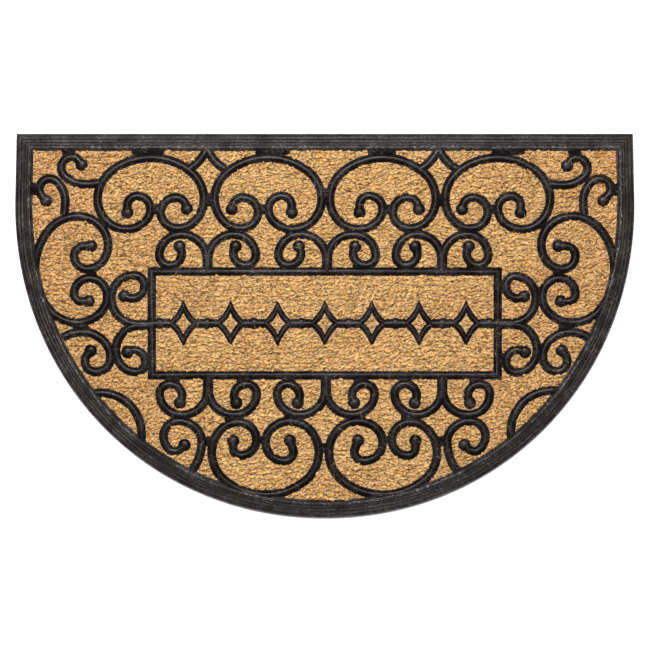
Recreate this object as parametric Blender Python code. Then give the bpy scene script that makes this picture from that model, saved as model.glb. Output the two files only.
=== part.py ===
"""A half-round coir doormat: one black rubber moulding with a ribbed border and scroll bars, over coir cloth.

Lengths are in metres. The mat lies flat with its underside on z = 0 and its straight edge towards +Y.
"""

import math
from typing import NamedTuple

import bmesh
import bpy
from mathutils import Matrix, Vector

MM = 0.001
WELD_DISTANCE = 0.01 * MM

# Outline of the mat
EDGE_HALF_WIDTH = 373.2 * MM
WIDEST_HALF_WIDTH = 375 * MM
STRAIGHT_EDGE_Y = 232.25 * MM
CURVE_TOP_Y = 147.6 * MM
CURVE_DEPTH = 379.85 * MM
CURVE_FULLNESS = 2.045
CURVE_SEGMENTS = 38

# Levels of the sheets
BASE_SHEET_TOP = 2 * MM
PIECE_GAP = 0.3 * MM
CLOTH_BOTTOM = BASE_SHEET_TOP + PIECE_GAP
CLOTH_TOP = 7.6 * MM
BAR_BOTTOM = CLOTH_TOP + PIECE_GAP
BORDER_WIDTH = 21 * MM

# Scroll bars
BAR_FOOT_WIDTH = 9.6 * MM
BAR_CROWN_WIDTH = 4.6 * MM
BAR_HEIGHT = 2.1 * MM
BAR_LEVEL_STEP = 0.006 * MM
CHORD_SAG = 0.95 * MM
PAD_BOTTOM = BAR_BOTTOM + 0.4 * MM
PAD_TOP = 9.2 * MM

# Panel frame and the chain of lozenges inside it
FRAME_WIDTH = 428.8 * MM
FRAME_DEPTH = 135.9 * MM
FRAME_CENTRE_Y = 2.5 * MM
FRAME_INSETS = (0, 2.4 * MM, 7.9 * MM, 10.3 * MM)
LOZENGE_COUNT = 7
LOZENGE_PITCH = 57 * MM
LOZENGE_WIDTH = 42 * MM
LOZENGE_DEPTH = 58 * MM
LOZENGE_HOLLOW = 0.16
LOZENGE_SIDE_SEGMENTS = 3
LOZENGE_SHARES = (1, 0.87, 0.59, 0.45)
LINK_OVERLAP = 5 * MM

# Finishes
RUBBER_COLOUR = (0.028, 0.025, 0.025)
RUBBER_ROUGHNESS = 0.55
COIR_COLOUR = (0.51, 0.29, 0.11)
COIR_ROUGHNESS = 0.95

# The prism that ends the bars inside the border's top rib
WINDOW_OFFSET = 18.2 * MM
WINDOW_BOTTOM = 5 * MM
WINDOW_TOP = 14 * MM


class BorderStep(NamedTuple):
    """One line of the border's cross-section, in millimetres."""

    inwards: float
    height: float


class Arc(NamedTuple):
    """One arc of a bar: turn in degrees, left positive, and radius in millimetres.

    A turn of 0 is a straight of that length.
    """

    turn: float
    radius: float


class BarKind(NamedTuple):
    """A kind of bar: the heading at its start in degrees, its arcs, and whether a ball ends it."""

    heading: float
    arcs: tuple
    ball: bool


class Place(NamedTuple):
    """Where a bar starts, in millimetres, its turn in degrees and its stretch each way, below 0 where it is mirrored."""

    bar: str
    x: float
    y: float
    turn: float
    across: float
    along: float


class Swell(NamedTuple):
    """One step of a ball on a bar: millimetres from its centre, and size as a share of the bar's."""

    along: float
    size: float


class Pad(NamedTuple):
    """A flat collar between two touching bars: centre and size in millimetres."""

    x: float
    y: float
    wide: float
    deep: float


BORDER_STEPS = (
    BorderStep(inwards=0, height=3.2),
    BorderStep(inwards=1, height=4.6),
    BorderStep(inwards=3.6, height=4.9),
    BorderStep(inwards=4.7, height=4.0),
    BorderStep(inwards=5.8, height=6.2),
    BorderStep(inwards=8.4, height=6.6),
    BorderStep(inwards=9.6, height=5.6),
    BorderStep(inwards=10.7, height=7.8),
    BorderStep(inwards=13.4, height=8.2),
    BorderStep(inwards=14.6, height=7.2),
    BorderStep(inwards=15.8, height=9.6),
    BorderStep(inwards=18.6, height=10.4),
    BorderStep(inwards=20.6, height=8.6),
    BorderStep(inwards=21, height=2),
)

SMALL_ARM = (
    Arc(turn=40, radius=75),
    Arc(turn=50, radius=45),
    Arc(turn=45, radius=41),
    Arc(turn=45, radius=28),
    Arc(turn=90, radius=20.5),
    Arc(turn=90, radius=18.5),
    Arc(turn=75, radius=12),
    Arc(turn=0, radius=6),
)
LARGE_ARM = (
    Arc(turn=-38, radius=76),
    Arc(turn=-52, radius=46),
    Arc(turn=-45, radius=40),
    Arc(turn=-45, radius=33),
    Arc(turn=-45, radius=31),
    Arc(turn=-45, radius=24),
    Arc(turn=-90, radius=16),
    Arc(turn=-90, radius=12),
    Arc(turn=0, radius=9),
)
ROUND_ARM = (
    Arc(turn=40, radius=75),
    Arc(turn=50, radius=45),
    Arc(turn=45, radius=41),
    Arc(turn=45, radius=28),
    Arc(turn=90, radius=22),
    Arc(turn=90, radius=19),
    Arc(turn=90, radius=9),
    Arc(turn=0, radius=9),
)
WIDE_ARM = (
    Arc(turn=-38, radius=76),
    Arc(turn=-52, radius=46),
    Arc(turn=-45, radius=40),
    Arc(turn=-45, radius=33),
    Arc(turn=-45, radius=31),
    Arc(turn=-45, radius=24),
    Arc(turn=-90, radius=22.6),
    Arc(turn=-110, radius=11),
    Arc(turn=0, radius=11),
)
STEM_ARM = (
    Arc(turn=0, radius=18),
    Arc(turn=-90, radius=31),
    Arc(turn=-90, radius=27),
    Arc(turn=-90, radius=12.4),
    Arc(turn=-90, radius=15),
    Arc(turn=-20, radius=10),
    Arc(turn=0, radius=6),
)
CORNER_ARM = (
    Arc(turn=-10, radius=100),
    Arc(turn=-45, radius=35),
    Arc(turn=-45, radius=15),
    Arc(turn=-90, radius=13.5),
    Arc(turn=-60, radius=9.5),
    Arc(turn=0, radius=6),
)
HOOK_ARM = (
    Arc(turn=-10, radius=100),
    Arc(turn=-45, radius=35),
    Arc(turn=-45, radius=15),
    Arc(turn=-90, radius=13.5),
    Arc(turn=-40, radius=12),
    Arc(turn=0, radius=9.5),
)
SIDE_ARM = (
    Arc(turn=-35, radius=38),
    Arc(turn=-45, radius=36),
    Arc(turn=-45, radius=27),
    Arc(turn=-90, radius=17),
    Arc(turn=-90, radius=12.5),
    Arc(turn=-40, radius=12),
    Arc(turn=0, radius=6),
)
LOWER_ARM = (
    Arc(turn=0, radius=8),
    Arc(turn=32, radius=60),
    Arc(turn=45, radius=25),
    Arc(turn=45, radius=29),
    Arc(turn=90, radius=18.5),
    Arc(turn=45, radius=24),
    Arc(turn=45, radius=8),
    Arc(turn=45, radius=12),
    Arc(turn=0, radius=6),
)
PLAIN_ARM = (Arc(turn=-125, radius=49.5),)
TIE_ARM = (Arc(turn=-38, radius=50),)

ONE_WAY_BARS = {
    "stem": BarKind(heading=90, arcs=STEM_ARM, ball=True),
    "corner": BarKind(heading=190, arcs=CORNER_ARM, ball=True),
    "hook": BarKind(heading=190, arcs=HOOK_ARM, ball=True),
    "side": BarKind(heading=35, arcs=SIDE_ARM, ball=True),
    "lower": BarKind(heading=58, arcs=LOWER_ARM, ball=True),
    "plain": BarKind(heading=18, arcs=PLAIN_ARM, ball=False),
    "tie": BarKind(heading=248, arcs=TIE_ARM, ball=False),
}
TWO_WAY_BARS = {
    "scroll": (SMALL_ARM, LARGE_ARM),
    "flank": (ROUND_ARM, LARGE_ARM),
    "basin": (ROUND_ARM, WIDE_ARM),
}

END_BALL = (
    Swell(along=-2.8, size=1.25),
    Swell(along=2.4, size=1.4),
    Swell(along=6.4, size=0.75),
)
LINK_BEAD = (
    Swell(along=-6.4, size=0.8),
    Swell(along=-2.6, size=1.4),
    Swell(along=2.6, size=1.4),
    Swell(along=6.4, size=0.8),
)

PLACES = (
    Place(bar="scroll", x=-210.4, y=203, turn=0, across=-1, along=0.958),
    Place(bar="scroll", x=-68.6, y=203, turn=0, across=1.007, along=0.958),
    Place(bar="scroll", x=70.4, y=203, turn=0, across=-0.997, along=0.958),
    Place(bar="scroll", x=209, y=203, turn=0, across=0.986, along=0.958),
    Place(bar="flank", x=-350.5, y=67.8, turn=90, across=1, along=0.98),
    Place(bar="flank", x=350.5, y=67.8, turn=-90, across=-1, along=0.98),
    Place(bar="basin", x=-72.1, y=-204.8, turn=0, across=1.006, along=-0.986),
    Place(bar="basin", x=70.5, y=-204.8, turn=0, across=-1.017, along=-0.986),
    Place(bar="stem", x=-142.7, y=63.9, turn=0, across=-0.991, along=0.946),
    Place(bar="stem", x=-140.9, y=63.9, turn=0, across=0.991, along=0.946),
    Place(bar="stem", x=1.9, y=63.9, turn=0, across=-1, along=0.946),
    Place(bar="stem", x=3.7, y=63.9, turn=0, across=1, along=0.946),
    Place(bar="stem", x=141, y=63.9, turn=0, across=-0.947, along=0.946),
    Place(bar="stem", x=142.8, y=63.9, turn=0, across=0.947, along=0.946),
    Place(bar="stem", x=-142, y=-61.7, turn=0, across=-0.997, along=-0.946),
    Place(bar="stem", x=-140.2, y=-61.7, turn=0, across=0.997, along=-0.946),
    Place(bar="stem", x=0.4, y=-61.7, turn=0, across=-1, along=-0.946),
    Place(bar="stem", x=2.2, y=-61.7, turn=0, across=1, along=-0.946),
    Place(bar="stem", x=141.2, y=-61.7, turn=0, across=-0.978, along=-0.946),
    Place(bar="stem", x=143, y=-61.7, turn=0, across=0.978, along=-0.946),
    Place(bar="stem", x=-208.3, y=1.7, turn=90, across=1.02, along=1.02),
    Place(bar="stem", x=-208.3, y=-0.1, turn=90, across=-0.967, along=0.907),
    Place(bar="stem", x=210.3, y=3.1, turn=-90, across=-0.974, along=0.918),
    Place(bar="stem", x=210.3, y=1.3, turn=-90, across=1, along=0.949),
    Place(bar="corner", x=-272.4, y=172.5, turn=0, across=1, along=0.96),
    Place(bar="corner", x=271.3, y=171.4, turn=0, across=-1, along=0.96),
    Place(bar="hook", x=-315.3, y=134, turn=90, across=-0.939, along=0.912),
    Place(bar="hook", x=314, y=134, turn=-90, across=0.939, along=0.965),
    Place(bar="side", x=-317, y=-14.9, turn=0, across=1.05, along=1.04),
    Place(bar="side", x=319, y=-14.8, turn=0, across=-1, along=1.02),
    Place(bar="lower", x=-162.1, y=-177.9, turn=0, across=1, along=0.962),
    Place(bar="lower", x=161.4, y=-177.9, turn=0, across=-1, along=0.962),
    Place(bar="plain", x=-286.3, y=-83.9, turn=0, across=1, along=1),
    Place(bar="plain", x=289.9, y=-80.9, turn=0, across=-1, along=1),
    Place(bar="tie", x=-142.8, y=214, turn=0, across=1, along=1),
    Place(bar="tie", x=-142.2, y=214, turn=0, across=-1, along=1),
    Place(bar="tie", x=137.5, y=214, turn=0, across=1, along=1),
    Place(bar="tie", x=138.1, y=214, turn=0, across=-1, along=1),
)

PADS = (
    Pad(x=-141, y=152, wide=12, deep=24),
    Pad(x=139.3, y=152, wide=12, deep=24),
    Pad(x=-205.7, y=140.7, wide=12, deep=12),
    Pad(x=201.9, y=140.7, wide=12, deep=12),
    Pad(x=-77.7, y=140.5, wide=12, deep=12),
    Pad(x=75.3, y=140.5, wide=12, deep=12),
    Pad(x=-177.2, y=115, wide=22, deep=9),
    Pad(x=171.7, y=115, wide=22, deep=9),
    Pad(x=-106.6, y=115, wide=22, deep=9),
    Pad(x=107.1, y=115, wide=22, deep=9),
    Pad(x=-36, y=115, wide=22, deep=9),
    Pad(x=34.6, y=115, wide=22, deep=9),
    Pad(x=-186.2, y=71.5, wide=16, deep=7),
    Pad(x=179.7, y=71.5, wide=16, deep=7),
    Pad(x=-99.5, y=71.5, wide=16, deep=7),
    Pad(x=99.1, y=71.5, wide=16, deep=7),
    Pad(x=-46.1, y=71.5, wide=16, deep=7),
    Pad(x=41.6, y=71.5, wide=16, deep=7),
    Pad(x=-214, y=210.5, wide=40, deep=8),
    Pad(x=222, y=210.5, wide=40, deep=8),
    Pad(x=-63, y=210.5, wide=42, deep=8),
    Pad(x=69.3, y=210.5, wide=34, deep=8),
    Pad(x=-310, y=210.8, wide=16, deep=8),
    Pad(x=302, y=210.8, wide=16, deep=8),
    Pad(x=-261.5, y=122.6, wide=9, deep=9),
    Pad(x=264.5, y=121.6, wide=9, deep=9),
    Pad(x=-281.9, y=64.1, wide=12, deep=12),
    Pad(x=281.6, y=64.1, wide=12, deep=12),
    Pad(x=-261.8, y=37.9, wide=9, deep=18),
    Pad(x=259, y=37.9, wide=9, deep=18),
    Pad(x=-256.8, y=-35.7, wide=10, deep=14),
    Pad(x=259, y=-35.7, wide=10, deep=14),
    Pad(x=-216, y=47, wide=7, deep=16),
    Pad(x=216, y=47, wide=7, deep=16),
    Pad(x=-216, y=-41, wide=7, deep=16),
    Pad(x=216, y=-41, wide=7, deep=16),
    Pad(x=-295, y=-2.8, wide=20, deep=9),
    Pad(x=292.7, y=-2.8, wide=20, deep=9),
    Pad(x=-183.2, y=-66.5, wide=16, deep=7),
    Pad(x=182.7, y=-66.5, wide=16, deep=7),
    Pad(x=-98.5, y=-66.5, wide=16, deep=7),
    Pad(x=97.1, y=-66.5, wide=16, deep=7),
    Pad(x=-44.1, y=-66.5, wide=16, deep=7),
    Pad(x=42.6, y=-66.5, wide=16, deep=7),
    Pad(x=-175.1, y=-110.3, wide=22, deep=9),
    Pad(x=173.7, y=-110.3, wide=22, deep=9),
    Pad(x=-110.6, y=-110.3, wide=22, deep=9),
    Pad(x=103.1, y=-110.3, wide=22, deep=9),
    Pad(x=-38, y=-110.3, wide=22, deep=9),
    Pad(x=37.6, y=-110.3, wide=22, deep=9),
    Pad(x=-77.3, y=-138, wide=12, deep=9),
    Pad(x=72.5, y=-138, wide=12, deep=9),
    Pad(x=-144.4, y=-140, wide=12, deep=12),
    Pad(x=142.4, y=-140, wide=12, deep=12),
    Pad(x=-350.5, y=165, wide=10, deep=16),
    Pad(x=350.1, y=165, wide=10, deep=16),
    Pad(x=0.8, y=158.9, wide=12, deep=22),
    Pad(x=-2.3, y=-148, wide=12, deep=22),
)


def clear_scene():
    """Removes every object."""
    for obj in list(bpy.data.objects):
        bpy.data.objects.remove(obj, do_unlink=True)


def make_collection(name):
    """Returns a new collection in the scene."""
    group = bpy.data.collections.new(name)
    bpy.context.scene.collection.children.link(group)
    return group


def make_material(name, colour, roughness):
    """Returns a Principled material."""
    material = bpy.data.materials.new(name)
    material.use_nodes = True
    shader = material.node_tree.nodes["Principled BSDF"]
    shader.inputs["Base Color"].default_value = (*colour, 1)
    shader.inputs["Roughness"].default_value = roughness
    return material


def mesh_object(name, bm, group):
    """Returns a new object from the bmesh, with its faces turned outwards."""
    bmesh.ops.recalc_face_normals(bm, faces=bm.faces)
    mesh = bpy.data.meshes.new(name)
    bm.to_mesh(mesh)
    bm.free()
    obj = bpy.data.objects.new(name, mesh)
    group.objects.link(obj)
    return obj


def hide_helper(obj):
    """Keeps a helper out of the render."""
    obj.hide_render = True
    obj.display_type = "WIRE"


def mat_outline():
    """Returns the mat's outline, counter-clockwise from the right end of the straight edge."""
    curve = []
    for step in range(1, CURVE_SEGMENTS):
        angle = math.pi * step / CURVE_SEGMENTS
        across = math.copysign(abs(math.cos(angle)) ** (2 / CURVE_FULLNESS), math.cos(angle))
        down = math.sin(angle) ** (2 / CURVE_FULLNESS)
        curve.append((-WIDEST_HALF_WIDTH * across, CURVE_TOP_Y - CURVE_DEPTH * down))
    return [
        (EDGE_HALF_WIDTH, STRAIGHT_EDGE_Y),
        (-EDGE_HALF_WIDTH, STRAIGHT_EDGE_Y),
        (-WIDEST_HALF_WIDTH, CURVE_TOP_Y),
        *curve,
        (WIDEST_HALF_WIDTH, CURVE_TOP_Y),
    ]


def flat_face(bm, outline, height):
    """Returns one face over the outline at this height."""
    face = bm.faces.new([bm.verts.new((x, y, height)) for x, y in outline])
    face.normal_update()
    return face


def raise_face(bm, face, height):
    """Extrudes the face straight to a height and returns the new face."""
    found = bmesh.ops.extrude_face_region(bm, geom=[face])["geom"]
    top = next(part for part in found if isinstance(part, bmesh.types.BMFace))
    for vert in top.verts:
        vert.co.z = height
    return top


def step_inwards(bm, face, distance, height):
    """Moves the face's edge inwards by a distance and the face to a height."""
    bmesh.ops.inset_region(bm, faces=[face], thickness=distance, use_boundary=True, use_even_offset=True)
    for vert in face.verts:
        vert.co.z = height


def mat_prism(offset, bottom, top):
    """Returns a flat slab of the mat's shape, with its edge this far inside the outline."""
    bm = bmesh.new()
    face = flat_face(bm, mat_outline(), bottom)
    step_inwards(bm, face, offset, bottom)
    bmesh.ops.delete(bm, geom=[other for other in bm.faces if other is not face], context="FACES")
    raise_face(bm, face, top)
    return bm


def ribbed_tray():
    """Returns the base sheet with the ribbed border around it."""
    bm = bmesh.new()
    bottom = flat_face(bm, mat_outline(), 0)
    first, *others = BORDER_STEPS
    top = raise_face(bm, bottom, first.height * MM)
    before = first
    for step in others:
        step_inwards(bm, top, (step.inwards - before.inwards) * MM, step.height * MM)
        before = step
    return bm


def walk_arcs(heading, arcs):
    """Returns the points of a chain of arcs from the origin, in metres."""
    x = 0
    y = 0
    line = [(x, y)]
    angle = math.radians(heading)
    for arc in arcs:
        radius = arc.radius * MM
        if arc.turn == 0:
            x += radius * math.cos(angle)
            y += radius * math.sin(angle)
            line.append((x, y))
            continue
        turn = math.radians(arc.turn)
        side = math.copysign(radius, turn)
        centre_x = x - side * math.sin(angle)
        centre_y = y + side * math.cos(angle)
        steps = math.ceil(abs(turn) / (2 * math.acos(1 - CHORD_SAG / radius)))
        for step in range(1, steps + 1):
            part = angle + turn * step / steps
            line.append((centre_x + side * math.sin(part), centre_y - side * math.cos(part)))
        x, y = line[-1]
        angle += turn
    return line


def bar_lines():
    """Returns each kind of bar's centre line, and whether a ball stands at its start and at its end."""
    lines = {}
    for name, kind in ONE_WAY_BARS.items():
        lines[name] = (walk_arcs(kind.heading, kind.arcs), (False, kind.ball))
    for name, (small, large) in TWO_WAY_BARS.items():
        line = walk_arcs(180, small)[::-1] + walk_arcs(0, large)[1:]
        lines[name] = (line, (True, True))
    return lines


def placed_line(line, place):
    """Returns the centre line at its place."""
    turned = Matrix.Rotation(math.radians(place.turn), 2)
    placed = []
    for across, along in line:
        x, y = turned @ Vector((across * place.across, along * place.along))
        placed.append((x + place.x * MM, y + place.y * MM))
    return placed


def bar_section(group):
    """Returns the curve of the bars' cross-section, a ridge with sloping sides."""
    curve = bpy.data.curves.new("bar_section", "CURVE")
    spline = curve.splines.new("POLY")
    foot = BAR_FOOT_WIDTH / 2
    crown = BAR_CROWN_WIDTH / 2
    corners = [(-foot, 0), (foot, 0), (crown, BAR_HEIGHT), (-crown, BAR_HEIGHT)]
    spline.points.add(len(corners) - 1)
    for point, (across, up) in zip(spline.points, corners):
        point.co = (across, up, 0, 1)
    spline.use_cyclic_u = True
    obj = bpy.data.objects.new("bar_section", curve)
    group.objects.link(obj)
    hide_helper(obj)
    return obj


def swollen_points(centre, heading, swells):
    """Returns the points of a ball on a bar, each with its size."""
    points = []
    for swell in swells:
        x, y = Vector(centre) + Vector(heading).normalized() * swell.along * MM
        points.append((x, y, swell.size))
    return points


def ball_ended(line, balls):
    """Returns the line's points with their sizes, and with a ball at each end that has one."""
    points = [(x, y, 1) for x, y in line]
    at_start, at_end = balls
    if at_end:
        heading = Vector(line[-1]) - Vector(line[-2])
        points[-1:] = swollen_points(line[-1], heading, END_BALL)
    if at_start:
        heading = Vector(line[0]) - Vector(line[1])
        points[:1] = swollen_points(line[0], heading, END_BALL)[::-1]
    return points


def bar_object(name, points, section, group):
    """Returns a solid bar along the points, each of them x, y and the bar's size there.

    Bars that meet lie a hair apart in height, so no two of their faces share a plane.
    """
    level = BAR_BOTTOM + BAR_LEVEL_STEP * (1 + len(group.objects))
    curve = bpy.data.curves.new(name, "CURVE")
    curve.dimensions = "3D"
    curve.twist_mode = "Z_UP"
    curve.bevel_mode = "OBJECT"
    curve.bevel_object = section
    curve.use_fill_caps = True
    spline = curve.splines.new("POLY")
    spline.points.add(len(points) - 1)
    for point, (x, y, size) in zip(spline.points, points):
        point.co = (x, y, level, 1)
        point.radius = size
    guide = bpy.data.objects.new(name + "_guide", curve)
    group.objects.link(guide)
    bpy.context.view_layer.update()
    mesh = bpy.data.meshes.new_from_object(guide.evaluated_get(bpy.context.evaluated_depsgraph_get()))
    bpy.data.objects.remove(guide, do_unlink=True)
    bm = bmesh.new()
    bm.from_mesh(mesh)
    bmesh.ops.remove_doubles(bm, verts=bm.verts, dist=WELD_DISTANCE)
    return mesh_object(name, bm, group)


def block_object(name, centre, size, levels, group):
    """Returns a flat block with this centre and size, between two levels."""
    bottom, top = levels
    bm = bmesh.new()
    bmesh.ops.create_cube(bm, size=1)
    bmesh.ops.scale(bm, verts=bm.verts, vec=(*size, top - bottom))
    bmesh.ops.translate(bm, verts=bm.verts, vec=(*centre, (bottom + top) / 2))
    return mesh_object(name, bm, group)


def moulded_ring(name, outlines, group):
    """Returns a closed bar from the outlines of its outer foot, the crown's two edges and its inner foot."""
    crown = BAR_BOTTOM + BAR_HEIGHT
    bm = bmesh.new()
    loops = []
    for outline, height in zip(outlines, (BAR_BOTTOM, crown, crown, BAR_BOTTOM)):
        loops.append([bm.verts.new((x, y, height)) for x, y in outline])
    for loop, following in zip(loops, loops[1:] + loops[:1]):
        for index in range(len(loop)):
            bm.faces.new((loop[index - 1], loop[index], following[index], following[index - 1]))
    return mesh_object(name, bm, group)


def frame_outline(inset):
    """Returns the corners of a rectangle this far inside the panel frame's outer edge."""
    left = inset - FRAME_WIDTH / 2
    bottom = FRAME_CENTRE_Y - FRAME_DEPTH / 2 + inset
    top = FRAME_CENTRE_Y + FRAME_DEPTH / 2 - inset
    return [(left, bottom), (-left, bottom), (-left, top), (left, top)]


def lozenge_outline(centre_x, share):
    """Returns the outline of a lozenge with hollow sides, at a share of its full size."""
    tips = [(LOZENGE_WIDTH / 2, 0), (0, LOZENGE_DEPTH / 2), (-LOZENGE_WIDTH / 2, 0), (0, -LOZENGE_DEPTH / 2)]
    outline = []
    for (start_x, start_y), (end_x, end_y) in zip(tips, tips[1:] + tips[:1]):
        for step in range(LOZENGE_SIDE_SEGMENTS):
            along = step / LOZENGE_SIDE_SEGMENTS
            pull = share * (1 - LOZENGE_HOLLOW * 4 * along * (1 - along))
            x = (start_x + (end_x - start_x) * along) * pull
            y = (start_y + (end_y - start_y) * along) * pull
            outline.append((centre_x + x, FRAME_CENTRE_Y + y))
    return outline


def make_chain(section, group):
    """Makes the row of lozenges across the panel, each joined to the next by a link with a bead on it."""
    first_x = -(LOZENGE_COUNT - 1) / 2 * LOZENGE_PITCH
    for index in range(LOZENGE_COUNT):
        centre_x = first_x + index * LOZENGE_PITCH
        outlines = [lozenge_outline(centre_x, share) for share in LOZENGE_SHARES]
        moulded_ring(f"lozenge_{index}", outlines, group)
    reach = LOZENGE_PITCH / 2 - LOZENGE_WIDTH / 2 + LINK_OVERLAP
    for index in range(LOZENGE_COUNT + 1):
        centre_x = first_x + (index - 1 / 2) * LOZENGE_PITCH
        bead = swollen_points((centre_x, FRAME_CENTRE_Y), (1, 0), LINK_BEAD)
        start = (centre_x - reach, FRAME_CENTRE_Y, 1)
        end = (centre_x + reach, FRAME_CENTRE_Y, 1)
        bar_object(f"link_{index}", [start, *bead, end], section, group)


def make_scrolls(section, group):
    """Makes every scroll bar with its ball ends."""
    kinds = bar_lines()
    for number, place in enumerate(PLACES):
        line, balls = kinds[place.bar]
        bar_object(f"{place.bar}_{number}", ball_ended(placed_line(line, place), balls), section, group)


def make_pads(group):
    """Makes the flat collars."""
    for number, pad in enumerate(PADS):
        centre = (pad.x * MM, pad.y * MM)
        size = (pad.wide * MM, pad.deep * MM)
        block_object(f"pad_{number}", centre, size, (PAD_BOTTOM, PAD_TOP), group)


def add_boolean(obj, operation, other):
    """Adds an exact Boolean with an object or with every object of a collection."""
    modifier = obj.modifiers.new(operation.lower(), "BOOLEAN")
    modifier.operation = operation
    modifier.solver = "EXACT"
    if isinstance(other, bpy.types.Collection):
        modifier.operand_type = "COLLECTION"
        modifier.collection = other
    else:
        modifier.object = other


def make_moulding(parts, helpers):
    """Makes the rubber moulding: border, base sheet, panel frame, chain and scrolls in one piece."""
    bars = make_collection("bars")
    section = bar_section(helpers)
    make_scrolls(section, bars)
    make_chain(section, bars)
    make_pads(bars)
    for bar in bars.objects:
        hide_helper(bar)
    bars.hide_render = True
    network = moulded_ring("network", [frame_outline(inset) for inset in FRAME_INSETS], helpers)
    window = mesh_object("window", mat_prism(WINDOW_OFFSET, WINDOW_BOTTOM, WINDOW_TOP), helpers)
    add_boolean(network, "UNION", bars)
    add_boolean(network, "INTERSECT", window)
    hide_helper(network)
    hide_helper(window)
    moulding = mesh_object("rubber_moulding", ribbed_tray(), parts)
    add_boolean(moulding, "UNION", network)
    moulding.data.materials.append(make_material("black_rubber", RUBBER_COLOUR, RUBBER_ROUGHNESS))


def make_cloth(parts):
    """Makes the sheet of coir cloth that lies on the base sheet inside the border."""
    slab = mat_prism(BORDER_WIDTH + PIECE_GAP, CLOTH_BOTTOM, CLOTH_TOP)
    cloth = mesh_object("coir_cloth", slab, parts)
    cloth.data.materials.append(make_material("coir", COIR_COLOUR, COIR_ROUGHNESS))


def main():
    """Builds the doormat."""
    clear_scene()
    parts = make_collection("parts")
    helpers = make_collection("cutters")
    make_moulding(parts, helpers)
    make_cloth(parts)


main()
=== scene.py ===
"""Looks of the half-round coir doormat: one black rubber moulding over coir cloth, seen from straight above.

Lengths are in metres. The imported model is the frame, and the pieces made here stand for its two nodes in
finer form: the ribbed border with its base sheet, the scroll bars, the panel, and the coir with its yarn.
"""

import logging
import math
from collections.abc import Callable, Iterable, Sequence
from dataclasses import dataclass
from enum import Enum
from functools import partial

import bmesh
import bpy
import numpy as np
from mathutils import Matrix, Vector
from mathutils.kdtree import KDTree


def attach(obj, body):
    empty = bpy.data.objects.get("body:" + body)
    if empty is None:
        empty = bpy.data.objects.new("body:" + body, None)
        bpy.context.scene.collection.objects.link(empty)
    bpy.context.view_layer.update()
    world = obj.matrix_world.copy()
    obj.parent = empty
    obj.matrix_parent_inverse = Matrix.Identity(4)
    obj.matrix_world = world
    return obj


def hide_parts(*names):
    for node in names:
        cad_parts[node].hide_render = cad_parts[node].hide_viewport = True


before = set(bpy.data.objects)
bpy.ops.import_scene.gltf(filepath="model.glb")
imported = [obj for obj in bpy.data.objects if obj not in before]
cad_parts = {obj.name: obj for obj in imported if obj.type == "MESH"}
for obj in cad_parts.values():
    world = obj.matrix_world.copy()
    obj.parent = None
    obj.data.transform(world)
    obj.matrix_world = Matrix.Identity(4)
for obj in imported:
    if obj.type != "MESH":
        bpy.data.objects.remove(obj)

MM = 0.001
WELD_DISTANCE = 0.01 * MM
CIRCLE_STEPS = 12
FIBRE_MAP = "Fibre"
EXPORT_MAP = "OFBake"
LOG = logging.getLogger("doormat")

Point = tuple[float, float]
Colour = tuple[float, float, float]
Socket = bpy.types.NodeSocket
Material = bpy.types.Material
Piece = bpy.types.Object
Mesh = bpy.types.Mesh
BMesh = bmesh.types.BMesh
Outline = Callable[[float], list[Point]]
Array = np.ndarray
Random = np.random.Generator


class Body(Enum):
    """The bodies that pieces ride on."""

    ROOT = "root"


class Slot(Enum):
    """The record's material slots."""

    RUBBER = "rubber"
    COIR = "coir"


class Node(Enum):
    """The frame's nodes that pieces stand for."""

    MOULDING = "rubber_moulding"
    CLOTH = "coir_cloth"


class Bar(Enum):
    """The kinds of scroll bar."""

    SCROLL = "scroll"
    FLANK = "flank"
    BASIN = "basin"
    STEM = "stem"
    CORNER = "corner"
    HOOK = "hook"
    SIDE = "side"
    LOWER = "lower"
    PLAIN = "plain"
    TIE = "tie"


@dataclass(frozen=True)
class Rib:
    """One rib of the border's cross-section, in millimetres inwards and up."""

    start: float
    end: float
    start_height: float
    end_height: float
    crown: float
    roundness: float


@dataclass(frozen=True)
class Arc:
    """One arc of a bar: turn in degrees, left positive, and radius in millimetres. Turn 0 is straight."""

    turn: float
    radius: float


@dataclass(frozen=True)
class Run:
    """A kind of bar: the heading at its start in degrees, its arcs, and whether a ball ends it."""

    heading: float
    arcs: tuple[Arc, ...]
    ball: bool


@dataclass(frozen=True)
class Place:
    """Where a bar starts in millimetres, its turn in degrees and its stretch, below 0 if mirrored."""

    bar: Bar
    x: float
    y: float
    turn: float
    across: float
    along: float


@dataclass(frozen=True)
class Collar:
    """A flat collar between two touching bars: centre and size in millimetres."""

    x: float
    y: float
    wide: float
    deep: float


RIBS = (
    Rib(start=0, end=2.6, start_height=3.6, end_height=4.1, crown=4.5, roundness=3),
    Rib(start=2.6, end=6.8, start_height=4.1, end_height=5.3, crown=5.5, roundness=4),
    Rib(start=6.8, end=11, start_height=5.3, end_height=6.6, crown=6.8, roundness=4),
    Rib(start=11, end=14, start_height=6.6, end_height=7.6, crown=7.8, roundness=3),
    Rib(start=14, end=18.8, start_height=7.6, end_height=8.5, crown=9.8, roundness=2.4),
    Rib(start=18.8, end=20.9, start_height=8.2, end_height=7.4, crown=8.5, roundness=2.2),
)

def arc_chain(*pairs: Point) -> tuple[Arc, ...]:
    """Returns arcs of these turns in degrees and radii in millimetres."""
    return tuple(Arc(turn, radius) for turn, radius in pairs)


def bars_at(bar: Bar, *rows: tuple[float, ...]) -> list[Place]:
    """Returns one kind of bar's places, from rows of x, y, turn and the stretch across and along."""
    return [Place(bar, *row) for row in rows]


def collars_at(wide: float, deep: float, *centres: Point) -> list[Collar]:
    """Returns collars of one size at these centres, in millimetres."""
    return [Collar(x, y, wide, deep) for x, y in centres]


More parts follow.
